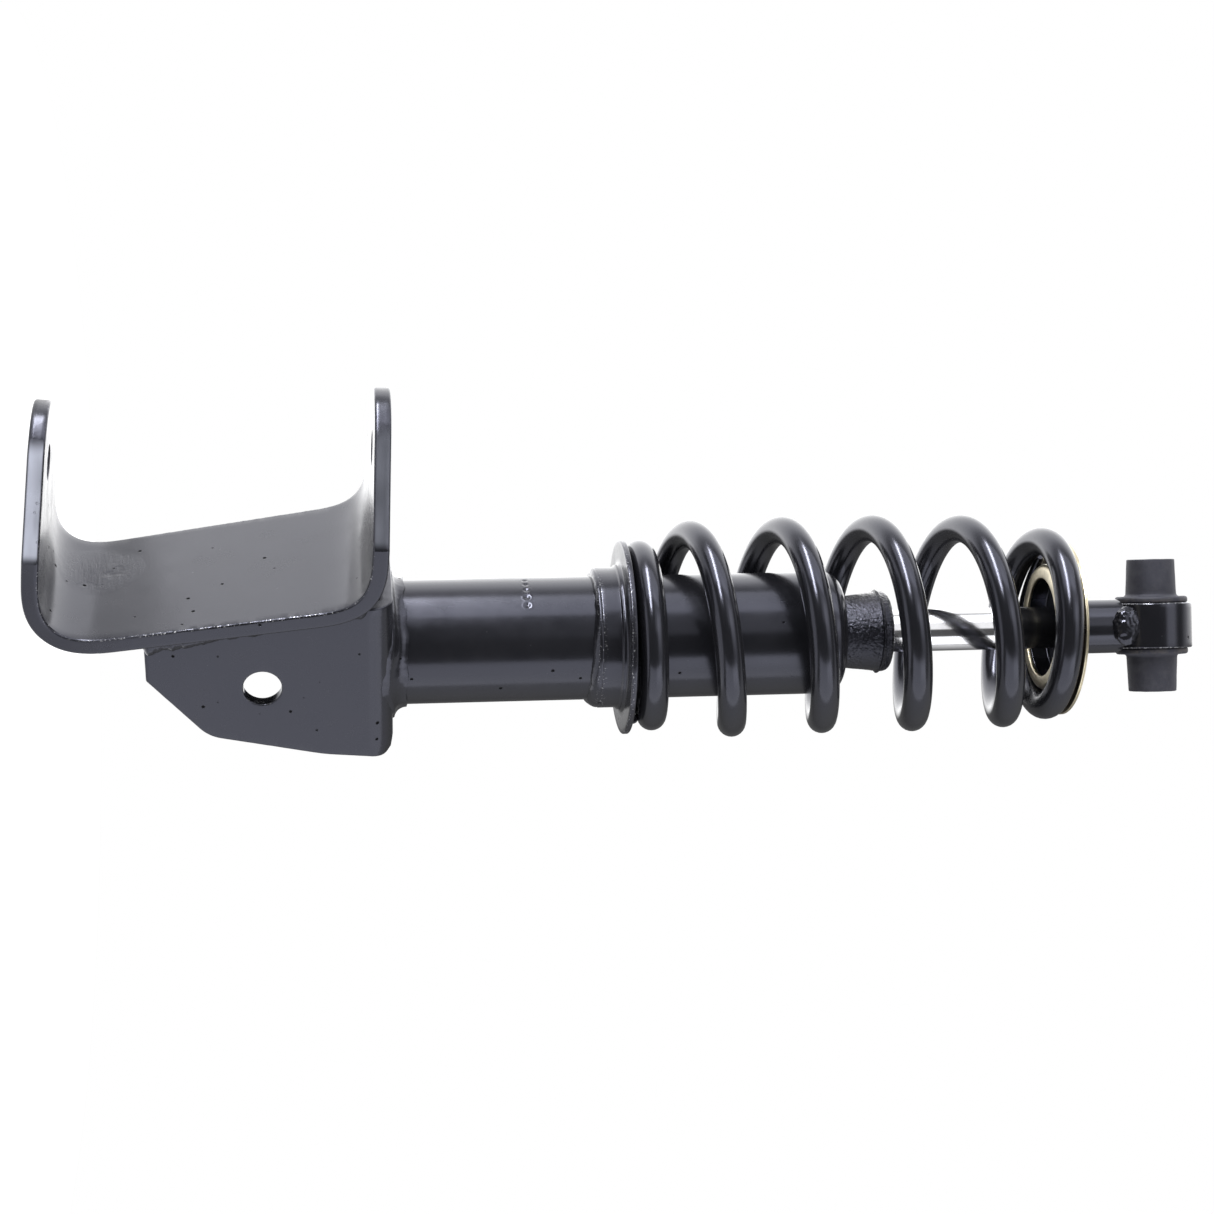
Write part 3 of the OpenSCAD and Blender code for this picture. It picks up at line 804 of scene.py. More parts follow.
def kingpin_bracket():
    """The C-shaped plate: rounded cut edges, a ragged burr along the web and a few nicks."""
    web_start = BRACKET.parts[2][0]
    web_end = web_start + BRACKET.parts[2][1]
    low_hole = (BRACKET.at(0)[0].y - kingpin_at(LOW_EAR_Z - 0.6)) / math.cos(EAR_LOW_LEAN)
    high_end = BRACKET.at(BRACKET.length)[0].y
    high_hole = BRACKET.length - (high_end - kingpin_at(HIGH_EAR_Z + 0.8)) / math.cos(EAR_HIGH_LEAN)
    holes = [circle((low_hole, 0), KINGPIN_R, 0.9), circle((high_hole, 0), KINGPIN_R, 0.9)]

    def fold(s, v, depth):
        here, inward = BRACKET.eased(s, PLATE_EASE)
        spot = here + inward * depth
        return Vector((-spot.y, v, spot.x))

    def rim(s, v, depth, is_hole):
        if is_hole:
            return 0, 0, 0.15
        rough = lumps(s, v, depth, 1.3) + 0.5 * lumps(s, v, depth + 40, 0.5)
        along = smooth((s - web_start - 4) / 26) * smooth((web_end + 6 - s) / 12)
        burr = along * clamp01((depth - 2.1) / 0.4) * (1 if v < 0 else 0.6)
        nick = 0.25 * clamp01(lumps(s, v, 0, 5.0) * 3 - 1.6) * clamp01((abs(depth) - 1.5) / 1.0)
        ears = 0.35 * (1 - along) * clamp01((depth - 2.2) / 0.4)
        shift = 0.10 * burr * rough - nick + 0.03 * lumps(s, v, depth, 3.0)
        lift = 0.12 * burr * max(0.0, rough + 0.2)
        reach = BRACKET.at(s)[0].y
        low_ear = s < web_start
        taper = smooth((reach - (LOW_TAPER if low_ear else HIGH_TAPER)) / 3)
        # Painted sheen: a pale painted reflection on the ears' faces past their taper, strongest on
        # the lower ear's side towards the camera; it is passed on as a wear value below 0
        sheen = taper * smooth((abs(v) - 14) / 5) * clamp01((2.6 - abs(depth)) / 0.5)
        sheen *= (0.75 + 0.25 * lumps(s, 0, depth * 3, 9.0)) if v < 0 else 0.3
        if sheen > 0.05 and burr < 0.1:
            return shift, lift, -sheen * (1.0 if low_ear else 0.30)
        return shift, lift, clamp01(0.8 * burr + ears + 2 * nick)

    points, faces, wear_and_sheen = sheet_mesh(bracket_outline(0.8), holes, PLATE_T, 0.9, 3.0, fold, rim)
    piece("kingpin_bracket_plate", points, faces, "housing", "bracket_paint",
          ("kingpin_bracket",), 50, wear_and_sheen)


# ---- Arm bracket ----


def outer_corner(corner, ear_dir, sign):
    """Corner of the plate's outer face outside an inner corner."""
    across = Vector((ear_dir.y, -ear_dir.x)) * sign
    below = Vector((WEB_DIR.y, -WEB_DIR.x))
    sizes = Vector((below.dot(corner) + PLATE_T, across.dot(corner) + PLATE_T))
    return Matrix((below, across)).inverted() @ sizes


LOW_OUTER = outer_corner(LOW_CORNER, LOW_EAR_DIR, -1)
HIGH_OUTER = outer_corner(HIGH_CORNER, HIGH_EAR_DIR, 1)


def web_under(z):
    """Reach of the bracket plate's outer face at a height on the strut axis."""
    outer_r = BEND_R + PLATE_T
    inner_mid = (HIGH_EAR_DIR - WEB_DIR).normalized()
    middle = HIGH_OUTER + inner_mid * outer_r / math.sin(HIGH_OPEN / 2)
    touch = HIGH_OUTER - WEB_DIR * outer_r / math.tan(HIGH_OPEN / 2)
    if z < touch.x:
        return LOW_OUTER.y + (z - LOW_OUTER.x) * WEB_DIR.y / WEB_DIR.x
    curve = middle.y - math.sqrt(max(0.0, outer_r ** 2 - (z - middle.x) ** 2))
    return min(curve, ARM_TOP)


def arm_bracket():
    """The folded channel that holds the lower arm, welded under the bracket plate."""
    bend = (ARM_BEND_R + ARM_T / 2) * math.pi / 2
    straight = ARM_WALL_Z - ARM_OUTER_R - ARM_LEFT_Z
    wall = 2 * (ARM_HALF - ARM_OUTER_R)
    line = FoldLine((-(ARM_HALF - ARM_T / 2), ARM_LEFT_Z), (0, 1), [
        (straight, 0), (bend, -math.pi / 2), (wall, 0), (bend, -math.pi / 2), (straight, 0),
    ])
    under = rounded([
        (ARM_LEFT_Z, web_under(ARM_LEFT_Z)), (ARM_LEFT_Z, 4.3), (-20.4, -20.9), (22.0, -30.3),
        (ARM_WALL_Z - ARM_T / 2, ARM_FOOT), (ARM_WALL_Z + 60, ARM_FOOT), (ARM_WALL_Z + 60, 40),
    ], [0, 1.5, 14, 60, 0, 0, 0], 10)
    near = [Vector((p.x - ARM_LEFT_Z, p.y)) for p in under if p.x <= ARM_WALL_Z - ARM_OUTER_R]
    near += [Vector((straight, ARM_FOOT + 0.6)), Vector((straight + bend, ARM_FOOT))]
    lower = near + [Vector((line.length - p.x, p.y)) for p in reversed(near)]
    steps = 90
    across = [line.length * (1 - k / steps) for k in range(steps + 1)]
    upper = [Vector((s, web_under(line.at(s)[0].y) + 0.1)) for s in across]
    outline = refined(lower + upper[1:-1], 1.0)
    holes = [
        circle((-ARM_LEFT_Z, 0), ARM_BORE_R, 0.8),
        circle((line.length + ARM_LEFT_Z, 0), ARM_BORE_R, 0.8),
        circle((line.length / 2, 0), TUBE_R + 0.05, 1.2),
    ]

    def fold(s, v, depth):
        here, out = line.at(s)
        spot = here + out * depth
        on_wall = smooth((min(s, line.length - s) - straight) / bend)
        past = min(ARM_CORNER_R - 0.1, max(0.0, ARM_CORNER_R + ARM_FOOT - 0.3 - v))
        curl = ARM_CORNER_R - math.sqrt(ARM_CORNER_R ** 2 - past ** 2)
        return Vector((-v, spot.x, spot.y - curl * on_wall))

    def rim(s, v, depth, is_hole):
        if is_hole:
            return 0, 0, 0.1
        chip = clamp01(lumps(s, v, 7, 2.5) * 3 - 1.2) * clamp01((depth - 1.0) / 1.0)
        return 0.04 * lumps(s, v, depth, 2.5) - 0.12 * chip, 0, 0.6 * chip

    points, faces, wear_and_sheen = sheet_mesh(outline, holes, ARM_T, 0.6, 3.0, fold, rim)
    piece("arm_bracket_channel", points, faces, "housing", "bracket_paint",
          ("arm_bracket", "arm_end_wall"), 50, wear_and_sheen)


# ---- Welds ----


def bead(path, out, down, leg, seed):
    """Points and faces of a fillet bead laid along a path in the corner of two faces."""
    ring = 12
    points = []
    total = sum((b - a).length for a, b in zip(path, path[1:]))
    done = 0.0
    for i, p in enumerate(path):
        if i:
            done += (p - path[i - 1]).length
        taper = math.sqrt(clamp01(min(done, total - done) / 3.0 + 0.02))
        ripple = 0.025 * math.cos(2 * math.pi * done / 2.3 + 0.6 * lumps(done, seed, 0, 3.0))
        size = leg(done) * taper * (1 + ripple + 0.16 * lumps(done, seed, 5, 4.0))
        for k in range(ring):
            turn = math.pi / 2 * k / (ring - 1)
            bulge = 0.86 + 0.08 * math.sin(2 * turn) + 0.05 * lumps(done, k * 0.6, seed, 1.5)
            bulge *= size
            points.append(p + out * bulge * math.cos(turn) + down * bulge * math.sin(turn))
        points.append(p - out * 0.6 - down * 0.6)
    return points, swept_faces(len(path), ring + 1)


def merged(parts):
    points = []
    faces = []
    for more_points, more_faces in parts:
        first = len(points)
        points.extend(more_points)
        faces.extend(tuple(i + first for i in f) for f in more_faces)
    return points, faces


def bracket_weld_seams():
    """Seams under the plate on both sides of the channel."""
    parts = []
    for side in (-1, 1):
        heights = [ARM_LEFT_Z - 1 + 0.7 * k for k in range(118)]
        path = [Vector((-web_under(z), side * (ARM_HALF - 0.1), z)) for z in heights]

        def leg(done):
            return 3.6 + 2.2 * smooth((34 - done) / 16) + 1.2 * lumps(done, 3, side, 6.0)

        parts.append(bead(path, Vector((0, side, 0)), Vector((1, 0, 0)), leg, 11.0 * side))
    points, faces = merged(parts)
    piece("bracket_seams", points, faces, "housing", "bracket_paint", ("bracket_weld_seams",), 60)


def wall_face(y):
    """Height of the channel's end face at a sideways place, down its folded corners."""
    past = max(0.0, abs(y) - (ARM_HALF - ARM_OUTER_R))
    return ARM_WALL_Z - ARM_OUTER_R + math.sqrt(max(0.0, ARM_OUTER_R ** 2 - past ** 2))


def tube_weld():
    """Rippled fillet between the channel's end wall and the tube."""
    profile = [Vector((TUBE_R - 0.4, ARM_WALL_Z)), Vector((TUBE_R + TUBE_WELD_LEG, ARM_WALL_Z))]
    inner = 0.80
    for k in range(1, 15):
        turn = math.pi / 2 * k / 14
        profile.append(Vector((
            TUBE_R + TUBE_WELD_LEG * (1 - inner * math.sin(turn)),
            ARM_WALL_Z + TUBE_WELD_LEG * (1 - inner * math.cos(turn)),
        )))
    profile.append(Vector((TUBE_R - 0.4, ARM_WALL_Z + TUBE_WELD_LEG + 0.3)))

    def shape(angle, r, z):
        around = angle * TUBE_R
        out = clamp01((r - TUBE_R) / TUBE_WELD_LEG)
        up = clamp01((z - ARM_WALL_Z) / TUBE_WELD_LEG)
        ripple = 0.04 * math.cos(2 * math.pi * around / 2.49 + 2.0 * lumps(around, 4, 0, 8.0))
        swell = 1.0 * lumps(around, 0, 0, 7.0) + 0.35 * lumps(around * 0.5, 0, z, 3.0) + ripple
        wide = r + swell * out if r > TUBE_R else r
        foot = wall_face(wide * math.sin(angle)) - 0.35
        tall = z + (1.1 * lumps(around, 9, 0, 6.0) + 0.5 * ripple) * up
        return wide, foot + (tall - ARM_WALL_Z) * (1 + (ARM_WALL_Z - foot) / TUBE_WELD_LEG)

    lathe("tube_fillet_weld", profile, "housing", "bracket_paint", ("tube_weld",), 300,
          shape, crease=60)


# ---- Damper ----


def damper_tube():
    """The tube with its rolled end and a plain row of punch dimples."""
    dimple_z = 99.3
    dimple_r = 1.5
    first_angle = math.radians(168)
    step_angle = 3.9 / TUBE_R
    outer = refined([(TUBE_R, TUBE_BASE), (TUBE_R, dimple_z - 3)], 6.0, False)
    outer += refined([(TUBE_R, dimple_z - 3), (TUBE_R, dimple_z + 3)], 0.4, False)[1:]
    roll = rounded([(TUBE_R, dimple_z + 3), (TUBE_R, TUBE_TOP), (TUBE_MOUTH_R, TUBE_TOP),
                    (TUBE_MOUTH_R, TUBE_TOP - TUBE_WALL)], [0, TUBE_ROLL_R, 1, 0], 14)
    outer += refined(roll, 4.0, False)[1:]
    bore = TUBE_R - TUBE_WALL
    outer += [Vector((bore, TUBE_TOP - TUBE_WALL)), Vector((bore, TUBE_BASE))]

    def shape(angle, r, z):
        if r > TUBE_R - 0.01 and abs(z - dimple_z) < 3:
            for k in range(5):
                across = (angle - first_angle - k * step_angle) * TUBE_R
                away = math.hypot(across, z - dimple_z) / dimple_r
                if away < 1.4:
                    lip = 0.05 * math.exp(-((away - 1.15) / 0.2) ** 2)
                    return r - 0.4 * (1 - smooth(away)) + lip, z
        if z > TUBE_TOP - TUBE_ROLL_R and r > TUBE_MOUTH_R + 1:
            press = smooth((z - TUBE_TOP + TUBE_ROLL_R) / 3) * smooth((TUBE_R - r) / 1.5)
            wave = lumps(angle * 14, 0, 2, 2.2)
            return r + 0.12 * press * wave, z - 0.15 * press * max(0, wave)
        return r, z

    lathe("damper_tube_body", outer, "housing", "tube_paint", ("damper_tube",), 384, shape)


def lower_spring_seat():
    """Collar and dished plate that carry the spring, with a chipped rim."""
    plate_z = SEAT_TOP - SEAT_T
    profile = rounded([
        (TUBE_R, HUB_Z), (HUB_R, HUB_Z), (HUB_R, plate_z - 2.3), (HUB_R + HUB_LIP, plate_z - 1.7),
        (HUB_R + HUB_LIP, plate_z), (SEAT_R, plate_z), (SEAT_R, SEAT_TOP), (TUBE_R, SEAT_TOP),
    ], [0, 1.1, 0.2, 0.3, 1.2, 0.6, 0.5, 0])

    def shape(angle, r, z):
        if r > HUB_R + 2:
            return r, z + 0.15 * round_lumps(angle, r, 3, 30.0)
        if r > TUBE_R + 1:
            return r + 0.10 * round_lumps(angle, r, z, 9.0), z
        return r, z

    def wear_and_sheen(angle, r, z):
        rim = clamp01((r - SEAT_R + 1.0) / 0.6) * clamp01((plate_z + 0.9 - z) / 0.4)
        hub = clamp01((HUB_Z + 1.6 - z) / 0.8) * clamp01((r - HUB_R + 1.5) / 1.0)
        return clamp01(0.7 * rim + 0.6 * hub)

    lathe("lower_seat_dish", refined(profile, 1.6), "housing", "tube_paint",
          ("lower_spring_seat",), 320, shape, wear_and_sheen=wear_and_sheen)


def seat_weld():
    """Uneven weld at the foot of the collar, longest on the side away from the ears."""
    top = HUB_Z + 0.6
    profile = [Vector((TUBE_R - 0.3, top)), Vector((HUB_R - 0.3, top))]
    for k in range(9):
        turn = math.pi / 2 * k / 8
        profile.append(Vector((
            TUBE_R + HUB_WELD_WIDE * math.cos(turn),
            HUB_Z - HUB_WELD_TALL * math.sin(turn),
        )))
    profile.append(Vector((TUBE_R - 0.3, HUB_Z - 1.7)))
    far_side = math.radians(-31)
    ear_side = math.radians(215)

    def shape(angle, r, z):
        below = clamp01((HUB_Z - z) / HUB_WELD_TALL)
        reach = 1 + 1.6 * smooth(0.5 + 0.5 * math.cos(angle - far_side)) * below
        wobble = 0.35 * below * lumps(angle * TUBE_R, 0, 5, 4.0)
        if r < TUBE_R:
            return r, HUB_Z + (z - HUB_Z) * reach if z < HUB_Z else z
        ripple = 0.12 * lumps(angle * TUBE_R, z, 9, 1.6) * below
        return r + ripple, (HUB_Z + (z - HUB_Z) * reach + wobble) if z < HUB_Z else z

    def wear_and_sheen(angle, r, z):
        low_edge = clamp01(1 - abs(HUB_Z - 0.8 - z) / 0.6)
        return 0.6 * low_edge * (0.5 + 0.5 * math.cos(angle - ear_side))

    lathe("seat_collar_weld", refined(profile, 0.8), "housing", "tube_paint", ("seat_weld",),
          300, shape, wear_and_sheen=wear_and_sheen, crease=60)


def bump_stop():
    """Moulded bump stop with a thin flash lip."""
    bore = ROD_R + 0.3
    profile = rounded([
        (bore, STOP_BASE), (STOP_FOOT_R, STOP_BASE), (STOP_R - 0.9, STOP_LIP_Z),
        (STOP_R, STOP_LIP_Z + 0.35), (STOP_R - 0.7, STOP_LIP_Z + 1.3), (STOP_TOP_R, STOP_TOP),
        (bore, STOP_TOP),
    ], [0.3, 1.2, 0.5, 0.15, 0.6, 2.6, 1.0])

    def shape(angle, r, z):
        if r < bore + 0.5:
            return r, z
        wobble = 0.10 * round_lumps(angle, r, z, 6.0) + 0.08 * round_lumps(angle, r, z, 1.6)
        wobble += 0.10 * round_lumps(angle, r, z, 0.8)
        flash = 0.25 * clamp01((r - STOP_R + 0.5) / 0.4) * lumps(angle * 16, 3, 0, 2.2)
        return r + wobble + flash - 0.1, z

    lathe("bump_stop_moulding", refined(profile, 0.4), "housing", "bump_rubber",
          ("bump_stop",), 300, shape, crease=50)


# ---- Coil spring ----


def risen(t):
    """Rise of the wire, in turns of full pitch, at turn t."""
    up = clamp01(t / CLIMB_END)
    down = clamp01((t - CLOSE_START) / (CLOSE_END - CLOSE_START))
    climb = max(t, 0) - up * CLIMB_END + up * up * CLIMB_END / 2
    return climb - down * down * (CLOSE_END - CLOSE_START) / 2 - max(0.0, t - CLOSE_END)


def coil_wire_r(t):
    foot = (WIRE_R - TIP_R) * clamp01((-0.1 - t) / 0.42)
    return WIRE_R - foot - (WIRE_R - THIN_R) * clamp01((t - 5.6) / 0.3)


def coil_point(t):
    turn = BOW_ANGLE + 2 * math.pi * t
    closed = smooth((t - 4.2) / 0.9)
    wide = smooth((t - 0.35) / 0.75) * (1 - closed)
    r = COIL_END_R + (COIL_MID_R - COIL_END_R) * wide + (COIL_TOP_R - COIL_END_R) * closed
    swell = math.sin(math.pi * clamp01((t - BOW_FIRST) / (BOW_LAST - BOW_FIRST)))
    aside = COIL_BOW * swell + START_SHIFT * smooth((t - 0.4) / 0.6) + END_SHIFT * smooth(t - 4)
    thinned = (WIRE_R - coil_wire_r(t)) * (-1 if t < 1 else 1)
    tilt = COIL_TILT * swell + math.tan(SEAT_TILT) * smooth((t - 4.6) / 0.6)
    return Vector((
        r * math.cos(turn) + aside * math.cos(BOW_ANGLE),
        r * math.sin(turn) + aside * math.sin(BOW_ANGLE),
        SEAT_TOP + WIRE_R + thinned + COIL_PITCH * risen(t) + tilt * r * math.cos(turn - BOW_ANGLE),
    ))


def coil_spring():
    """Round wire swept along the coil."""
    rings = 720
    sides = 28
    step = 0.002
    span = TURN_LAST - TURN_FIRST
    chamfer = [(0.0, 0.72), (0.0006, 0.9), (0.0014, 1.0)]
    stations = [(TURN_FIRST + span * a, s) for a, s in chamfer]
    stations += [(TURN_FIRST + span * k / rings, 1.0) for k in range(2, rings - 1)]
    stations += [(TURN_LAST - span * a, s) for a, s in reversed(chamfer)]
    points = []
    for t, scale in stations:
        p = coil_point(t)
        ahead = (coil_point(t + step) - coil_point(t - step)).normalized()
        out = ahead.cross(UP).normalized()
        up = out.cross(ahead)
        r = coil_wire_r(t) * scale
        for k in range(sides):
            turn = 2 * math.pi * k / sides
            points.append(p + r * (math.cos(turn) * out + math.sin(turn) * up))
            risen(t) / risen(TURN_LAST)
    faces = swept_faces(len(stations), sides)
    spring = piece("coil_spring_wire", points, faces, None, "spring_paint", ("coil_spring",))
    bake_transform(spring)


# ---- Upper seat, stem and eye ----


SEAT_MIDDLE = Matrix.Translation((0, 0, UPPER_SEAT_Z))
TILT_AXIS = Vector((math.sin(BOW_ANGLE), -math.cos(BOW_ANGLE), 0))
ON_SPRING_END = SEAT_MIDDLE @ Matrix.Rotation(SEAT_TILT, 4, TILT_AXIS) @ SEAT_MIDDLE.inverted()


def upper_spring_seat():
    profile = rounded([
        (HAT_HOLE_R, HAT_Z), (HAT_R, HAT_Z), (HAT_R, FLANGE_TOP - SHEET),
        (UPPER_SEAT_R, FLANGE_TOP - SHEET), (UPPER_SEAT_R, FLANGE_TOP),
        (HAT_R - HAT_T, FLANGE_TOP), (HAT_R - HAT_T, HAT_Z + HAT_T), (HAT_HOLE_R, HAT_Z + HAT_T),
    ], [0.5, 2.2, 0.9, 0.35, 0.15, 0, 0.6, 0.5])

    def shape(angle, r, z):
        if r > HAT_R + 3:
            return r + 0.12 * lumps(angle * 30, 0, 0, 8.0), z
        return r, z

    lathe("upper_seat_hat", refined(profile, 2.0), "upper_seat", "zinc_plate",
          ("upper_spring_seat",), 240, shape, ON_SPRING_END)


def upper_seat_washer():
    inner = HAT_R - HAT_T + 0.1
    top = FLANGE_TOP + SHEET
    profile = rounded([(inner, FLANGE_TOP + 0.02), (UPPER_SEAT_R, FLANGE_TOP + 0.02),
                       (UPPER_SEAT_R, top), (inner, top)], [0.15, 0.35, 0.35, 0.15], 5)
    lathe("upper_seat_ring", profile, "upper_seat", "zinc_plate", ("upper_seat_washer",),
          240, None, ON_SPRING_END)


def seat_retainer():
    wall_t = 1.9
    wall_r = HAT_R - HAT_T - 0.4
    foot = HAT_Z + HAT_T + 0.5
    profile = rounded([
        (ROD_R, CUP_Z), (wall_r - wall_t, CUP_Z), (wall_r - wall_t, foot), (wall_r, foot),
        (wall_r, CUP_Z), (wall_r + 2.3, CUP_Z), (wall_r + 2.3, STEM_Z), (ROD_R, STEM_Z),
    ], [0, 0.8, 0.3, 0.3, 0.2, 0.5, 0.7, 0], 5)
    lathe("seat_retainer_cup", profile, "rod", "stem_paint", ("seat_retainer",), 200)


EYE_AXIS = Vector((math.cos(EYE_TURN), math.sin(EYE_TURN), 0))
EYE_SIDE = UP.cross(EYE_AXIS)
EYE_PLACE = Matrix.Translation((0, 0, EYE_Z)) @ Matrix((
    (EYE_SIDE.x, 0, EYE_AXIS.x, 0), (EYE_SIDE.y, 0, EYE_AXIS.y, 0),
    (EYE_SIDE.z, 1, EYE_AXIS.z, 0), (0, 0, 0, 1),
))


def stem_end(spot):
    """Height of the stem's end, cut to the eye ring's curve, above a point of its section."""
    return EYE_Z - math.sqrt(EYE_R ** 2 - spot.dot(EYE_SIDE) ** 2) + 0.6


def rod_stem():
    """Stem from the retainer to the eye ring."""
    segments = 120
    rows = 12
    foot = UP * STEM_Z
    points = []
    for i in range(segments):
        radial = ray(2 * math.pi * i / segments).to_3d()
        skin = radial * STEM_R
        core = radial * (ROD_R + 0.2)
        rise = UP * (stem_end(skin) - STEM_Z)
        points.extend(skin + foot + rise * k / rows for k in range(rows + 1))
        points.append(core + UP * stem_end(core))
        points.append(core + foot)
    faces = ring_faces(segments, rows + 3)
    piece("rod_stem_sleeve", points, faces, "rod", "stem_paint", ("rod_stem",), 50)


def eye_ring():
    profile = rounded([(EYE_IN_R, -EYE_HALF), (EYE_R, -EYE_HALF), (EYE_R, EYE_HALF),
                       (EYE_IN_R, EYE_HALF)], [0.4, 0.7, 0.7, 0.4], 5)

    def wear_and_sheen(angle, r, z):
        return 0.7 * clamp01((abs(z) - EYE_HALF + 0.5) / 0.4) * clamp01((r - EYE_R + 0.9) / 0.5)

    lathe("eye_ring_band", refined(profile, 1.5), "rod", "stem_paint", ("eye_ring",), 200,
          None, EYE_PLACE, wear_and_sheen)


def eye_weld():
    """Lumpy weld blobs in the two corners between the stem and the eye ring."""
    parts = []
    for side in (-1, 1):
        middle = EYE_SIDE * side * EYE_WELD_ASIDE + UP * (EYE_Z - EYE_WELD_DOWN)
        ball = bmesh.new()
        bmesh.ops.create_icosphere(ball, subdivisions=5, radius=1.0)
        points = []
        for v in ball.verts:
            x, y, z = v.co.normalized() * Vector(EYE_WELD_SIZE)
            local = EYE_AXIS * x + EYE_SIDE * y + UP * z
            rough = 1 + 0.10 * lumps(local.x, local.y, local.z + 9 * side, 3.0)
            rough += 0.08 * lumps(local.x, local.y, local.z + 9 * side, 1.5)
            points.append(middle + local * rough)
        faces = [tuple(v.index for v in f.verts) for f in ball.faces]
        ball.free()
        parts.append((points, faces))
    points, faces = merged(parts)
    piece("eye_weld_blobs", points, faces, "rod", "stem_paint", ("eye_weld",), 60)


def eye_bush(name, side, node):
    """One rubber half: a spigot in the eye, a flange outside it and a tapered boss."""
    face = EYE_HALF + 0.05
    profile = rounded([
        (SLEEVE_R + 0.05, 0.05), (EYE_IN_R - 0.05, 0.05), (EYE_IN_R - 0.05, face),
        (FLANGE_R, face), (FLANGE_R, face + FLANGE_T), (BOSS_ROOT_R, face + FLANGE_T),
        (BOSS_TIP_R, BUSH_HALF), (SLEEVE_R + 0.05, BUSH_HALF),
    ], [0, 0, 0, 0.7, 1.1, 1.2, 0.45, 0.2])
    profile = [Vector((p.x, side * p.y)) for p in refined(profile, 1.1)]

    def shape(angle, r, z):
        if r < SLEEVE_R + 0.5 or abs(z) < face - 0.1:
            return r, z
        wobble = 0.09 * round_lumps(angle, r, z, 5.0)
        return r + wobble, z + 0.06 * round_lumps(angle, r, z + 30, 4.0)

    def wear_and_sheen(angle, r, z):
        return 0.6 * clamp01((r - FLANGE_R + 0.3) / 0.3) if abs(z) > face else 0.0

    lathe(name, profile, "rod", "bush_rubber", (node,), 180, shape, EYE_PLACE, wear_and_sheen,
          crease=50)


def bush_sleeve():
    profile = rounded([(SLEEVE_BORE_R, -SLEEVE_HALF), (SLEEVE_R, -SLEEVE_HALF),
                       (SLEEVE_R, SLEEVE_HALF), (SLEEVE_BORE_R, SLEEVE_HALF)],
                      [0.4, 0.3, 0.3, 0.4], 4)
    lathe("bush_sleeve_tube", refined(profile, 4.0), "sleeve", "bright_steel",
          ("bush_sleeve",), 120, None, EYE_PLACE)


kingpin_bracket()
arm_bracket()
bracket_weld_seams()
tube_weld()
damper_tube()
lower_spring_seat()
seat_weld()
bump_stop()
coil_spring()
upper_spring_seat()
upper_seat_washer()
seat_retainer()
rod_stem()
eye_ring()
eye_weld()
eye_bush("eye_bush_front_half", 1, "eye_bush_front")
eye_bush("eye_bush_rear_half", -1, "eye_bush_rear")
bush_sleeve()


# ---- Camera, floor and light ----


def camera():
    """Camera at the azimuth, elevation and distance above, rolled so the strut lies level."""
    azimuth = math.radians(AZIMUTH)
    elevation = math.radians(ELEVATION)
    back = Vector((
        math.sin(azimuth) * math.cos(elevation),
        -math.cos(azimuth) * math.cos(elevation),
        math.sin(elevation),
    ))
    ahead = -back
    upright = (UP - ahead * ahead.z).normalized()
    side = ahead.cross(upright)
    roll = math.radians(ROLL)
    up = upright * math.cos(roll) + side * math.sin(roll)
    right = ahead.cross(up)
    lens = bpy.data.cameras.new("camera")
    lens.lens = LENS
    lens.sensor_width = 36
    lens.clip_start = 0.05
    made = bpy.data.objects.new("camera", lens)
    axes = Matrix((right, up, back)).transposed().to_4x4()
    made.matrix_world = Matrix.Translation(AIM + back * DISTANCE) @ axes
    bpy.context.scene.collection.objects.link(made)
    bpy.context.scene.camera = made
    return back, up, right


TO_CAMERA, VIEW_UP, VIEW_RIGHT = camera()
MIDDLE = Vector((0, 0, 0.14))


def around(angle):
    """Direction from the strut, angle degrees from the camera towards picture up."""
    turn = math.radians(angle)
    return TO_CAMERA * math.cos(turn) + VIEW_UP * math.sin(turn)


def area_light(name, spot, axes, length, width, radiance):
    """A rectangular light at spot whose length, width and back lie along the three axes."""
    lamp = bpy.data.lights.new(name, "AREA")
    lamp.shape = "RECTANGLE"
    lamp.size = length
    lamp.size_y = width
    lamp.energy = radiance * math.pi * width * length
    made = bpy.data.objects.new(name, lamp)
    made.matrix_world = Matrix.Translation(spot) @ Matrix(axes).transposed().to_4x4()
    made.visible_camera = False
    bpy.context.scene.collection.objects.link(made)
    return made


def softbox(name, angle, distance, width, length, radiance, tint, lift):
    """A long soft light beside the strut and level with it, moved along it by lift."""
    back = around(angle)
    axes = (VIEW_RIGHT, back.cross(VIEW_RIGHT), back)
    spot = MIDDLE + back * distance + VIEW_RIGHT * lift
    area_light(name, spot, axes, length, width, radiance).data.color = tint


def softstrip(name, angle, distance, width, length, radiance, lift):
    """A narrow light across the strut, which draws the streaks along the spring's wire."""
    spot = MIDDLE + around(angle) * distance + VIEW_RIGHT * lift
    back = (spot - MIDDLE).normalized()
    across = back.cross(around(angle + 90)).normalized()
    axes = (across.cross(back), across, back)
    area_light(name, spot, axes, length, width, radiance).visible_diffuse = False


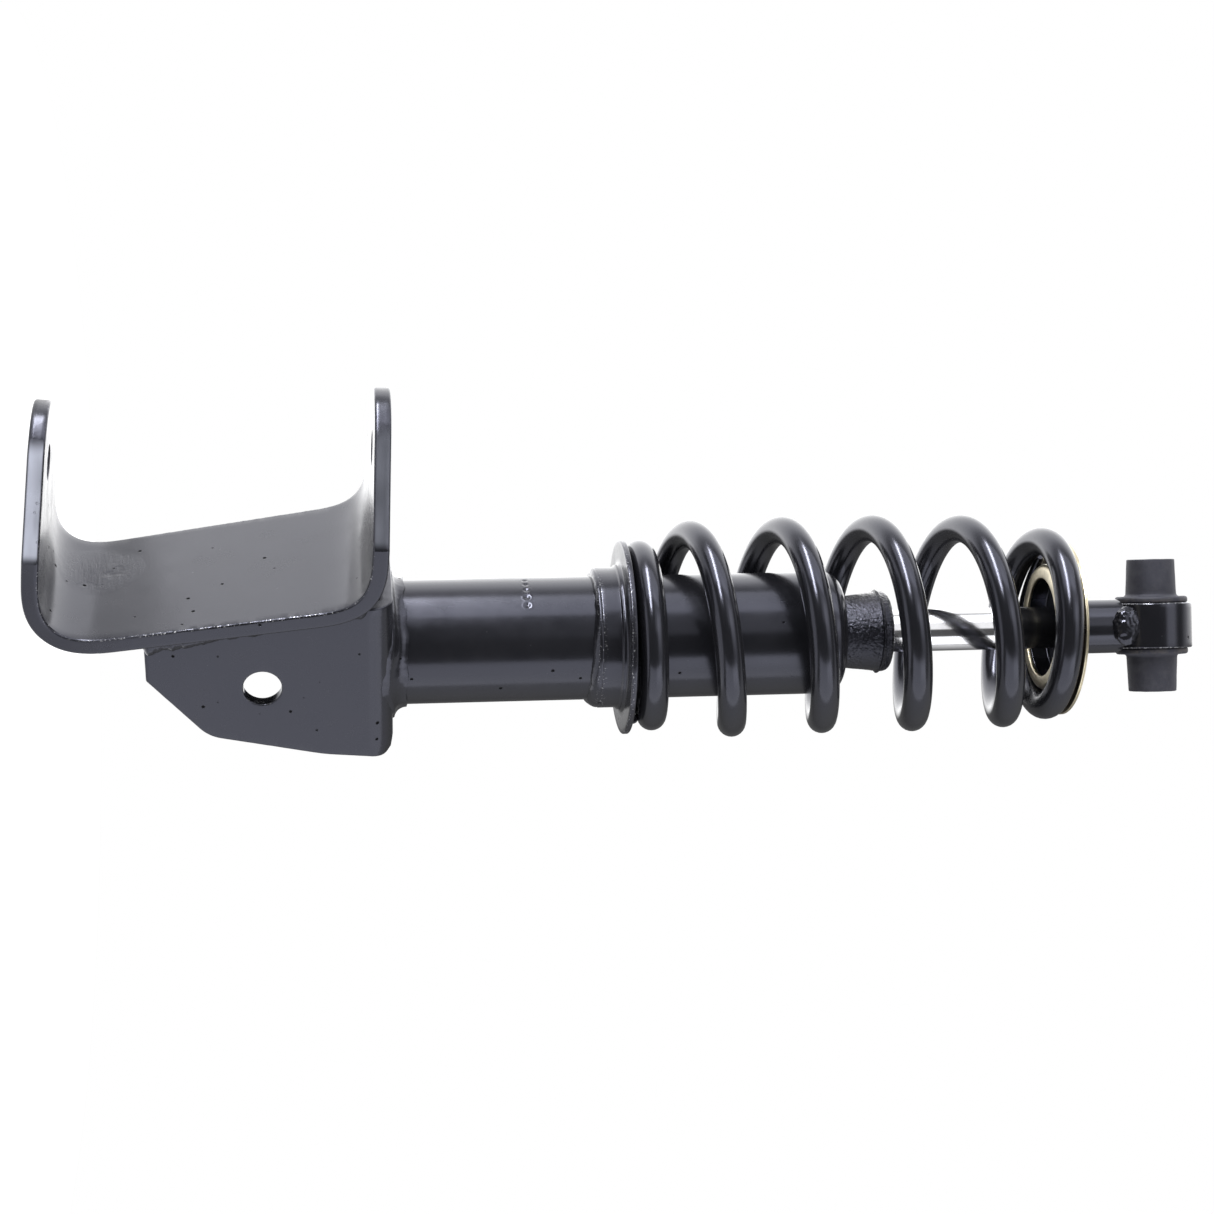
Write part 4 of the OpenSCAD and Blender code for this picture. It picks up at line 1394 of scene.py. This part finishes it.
def backdrop():
    """White surroundings, with the dark room on the camera's side seen only in reflections."""
    world = bpy.data.worlds.new("studio")
    world.use_nodes = True
    Graph.tree = world.node_tree
    aim = put("ShaderNodeTexCoord", "Generated")

    def toward(direction):
        """Cosine between the way a ray goes and a direction."""
        ways = {0: aim, 1: tuple(direction)}
        return put("ShaderNodeVectorMath", "Value", ways, operation="DOT_PRODUCT")

    facing = toward(TO_CAMERA)
    upward = toward(VIEW_UP)
    sideways = toward(VIEW_RIGHT)
    above = between(facing, -0.12, -0.44, 0.8, 2.55)
    below = between(facing, -0.12, -0.80, 0.8, 0.16)
    behind = below + between(upward, -0.07, 0.07) * (above - below)
    room = behind + between(facing, -0.10, 0.14) * (ROOM - behind)
    glow = between(upward, 0.02, 0.11) + between(upward, -0.52, -0.66, 0, 0.8)
    glow = glow * between(sideways, 0.22, 0.30) * between(sideways, 0.78, 0.52)
    glow = glow * between(facing, 0.30, 0.55)
    window = between(sideways, 0.46, 0.60) * between(sideways, 0.93, 0.82)
    window = window * between(upward, -0.34, 0.14, 0.3, 1.0) * between(upward, 0.55, 0.30)
    window = window * between(facing, 0.15, 0.40)
    room = room + GLOW * glow + WINDOW * window
    seen = put("ShaderNodeLightPath", "Is Camera Ray")
    wire(Graph.tree.nodes["Background"], Strength=room + seen * (1.0 - room), Color=WHITE)
    bpy.context.scene.world = world


def floor():
    """A plain pale disc under the bracket that melts into the white backdrop."""
    look, shader, _ = start("floor_white")
    wire(shader, Base_Color=FLOOR, Roughness=1.0, Specular_IOR_Level=0.0,
         Emission_Color=WHITE, Emission_Strength=1.0)
    disc = bmesh.new()
    bmesh.ops.create_circle(disc, cap_ends=True, radius=0.235, segments=96)
    mesh = bpy.data.meshes.new("floor")
    disc.to_mesh(mesh)
    disc.free()
    mesh.materials.append(look)
    made = bpy.data.objects.new("floor", mesh)
    made.location.z = cad_bounds[0][2] - 0.0003
    bpy.context.scene.collection.objects.link(made)


bpy.context.scene.view_settings.view_transform = "Standard"
softbox("softbox_high", angle=66, distance=0.90, width=0.72, length=1.7, radiance=2.6,
        tint=(0.96, 0.97, 1.0), lift=0.25)
softbox("softbox_low", angle=-65, distance=0.90, width=0.80, length=1.7, radiance=1.85,
        tint=(0.97, 0.98, 1.0), lift=0.25)
softstrip("strip_high", angle=58, distance=2.5, width=0.46, length=2.7, radiance=36.0, lift=-0.33)
backdrop()
floor()
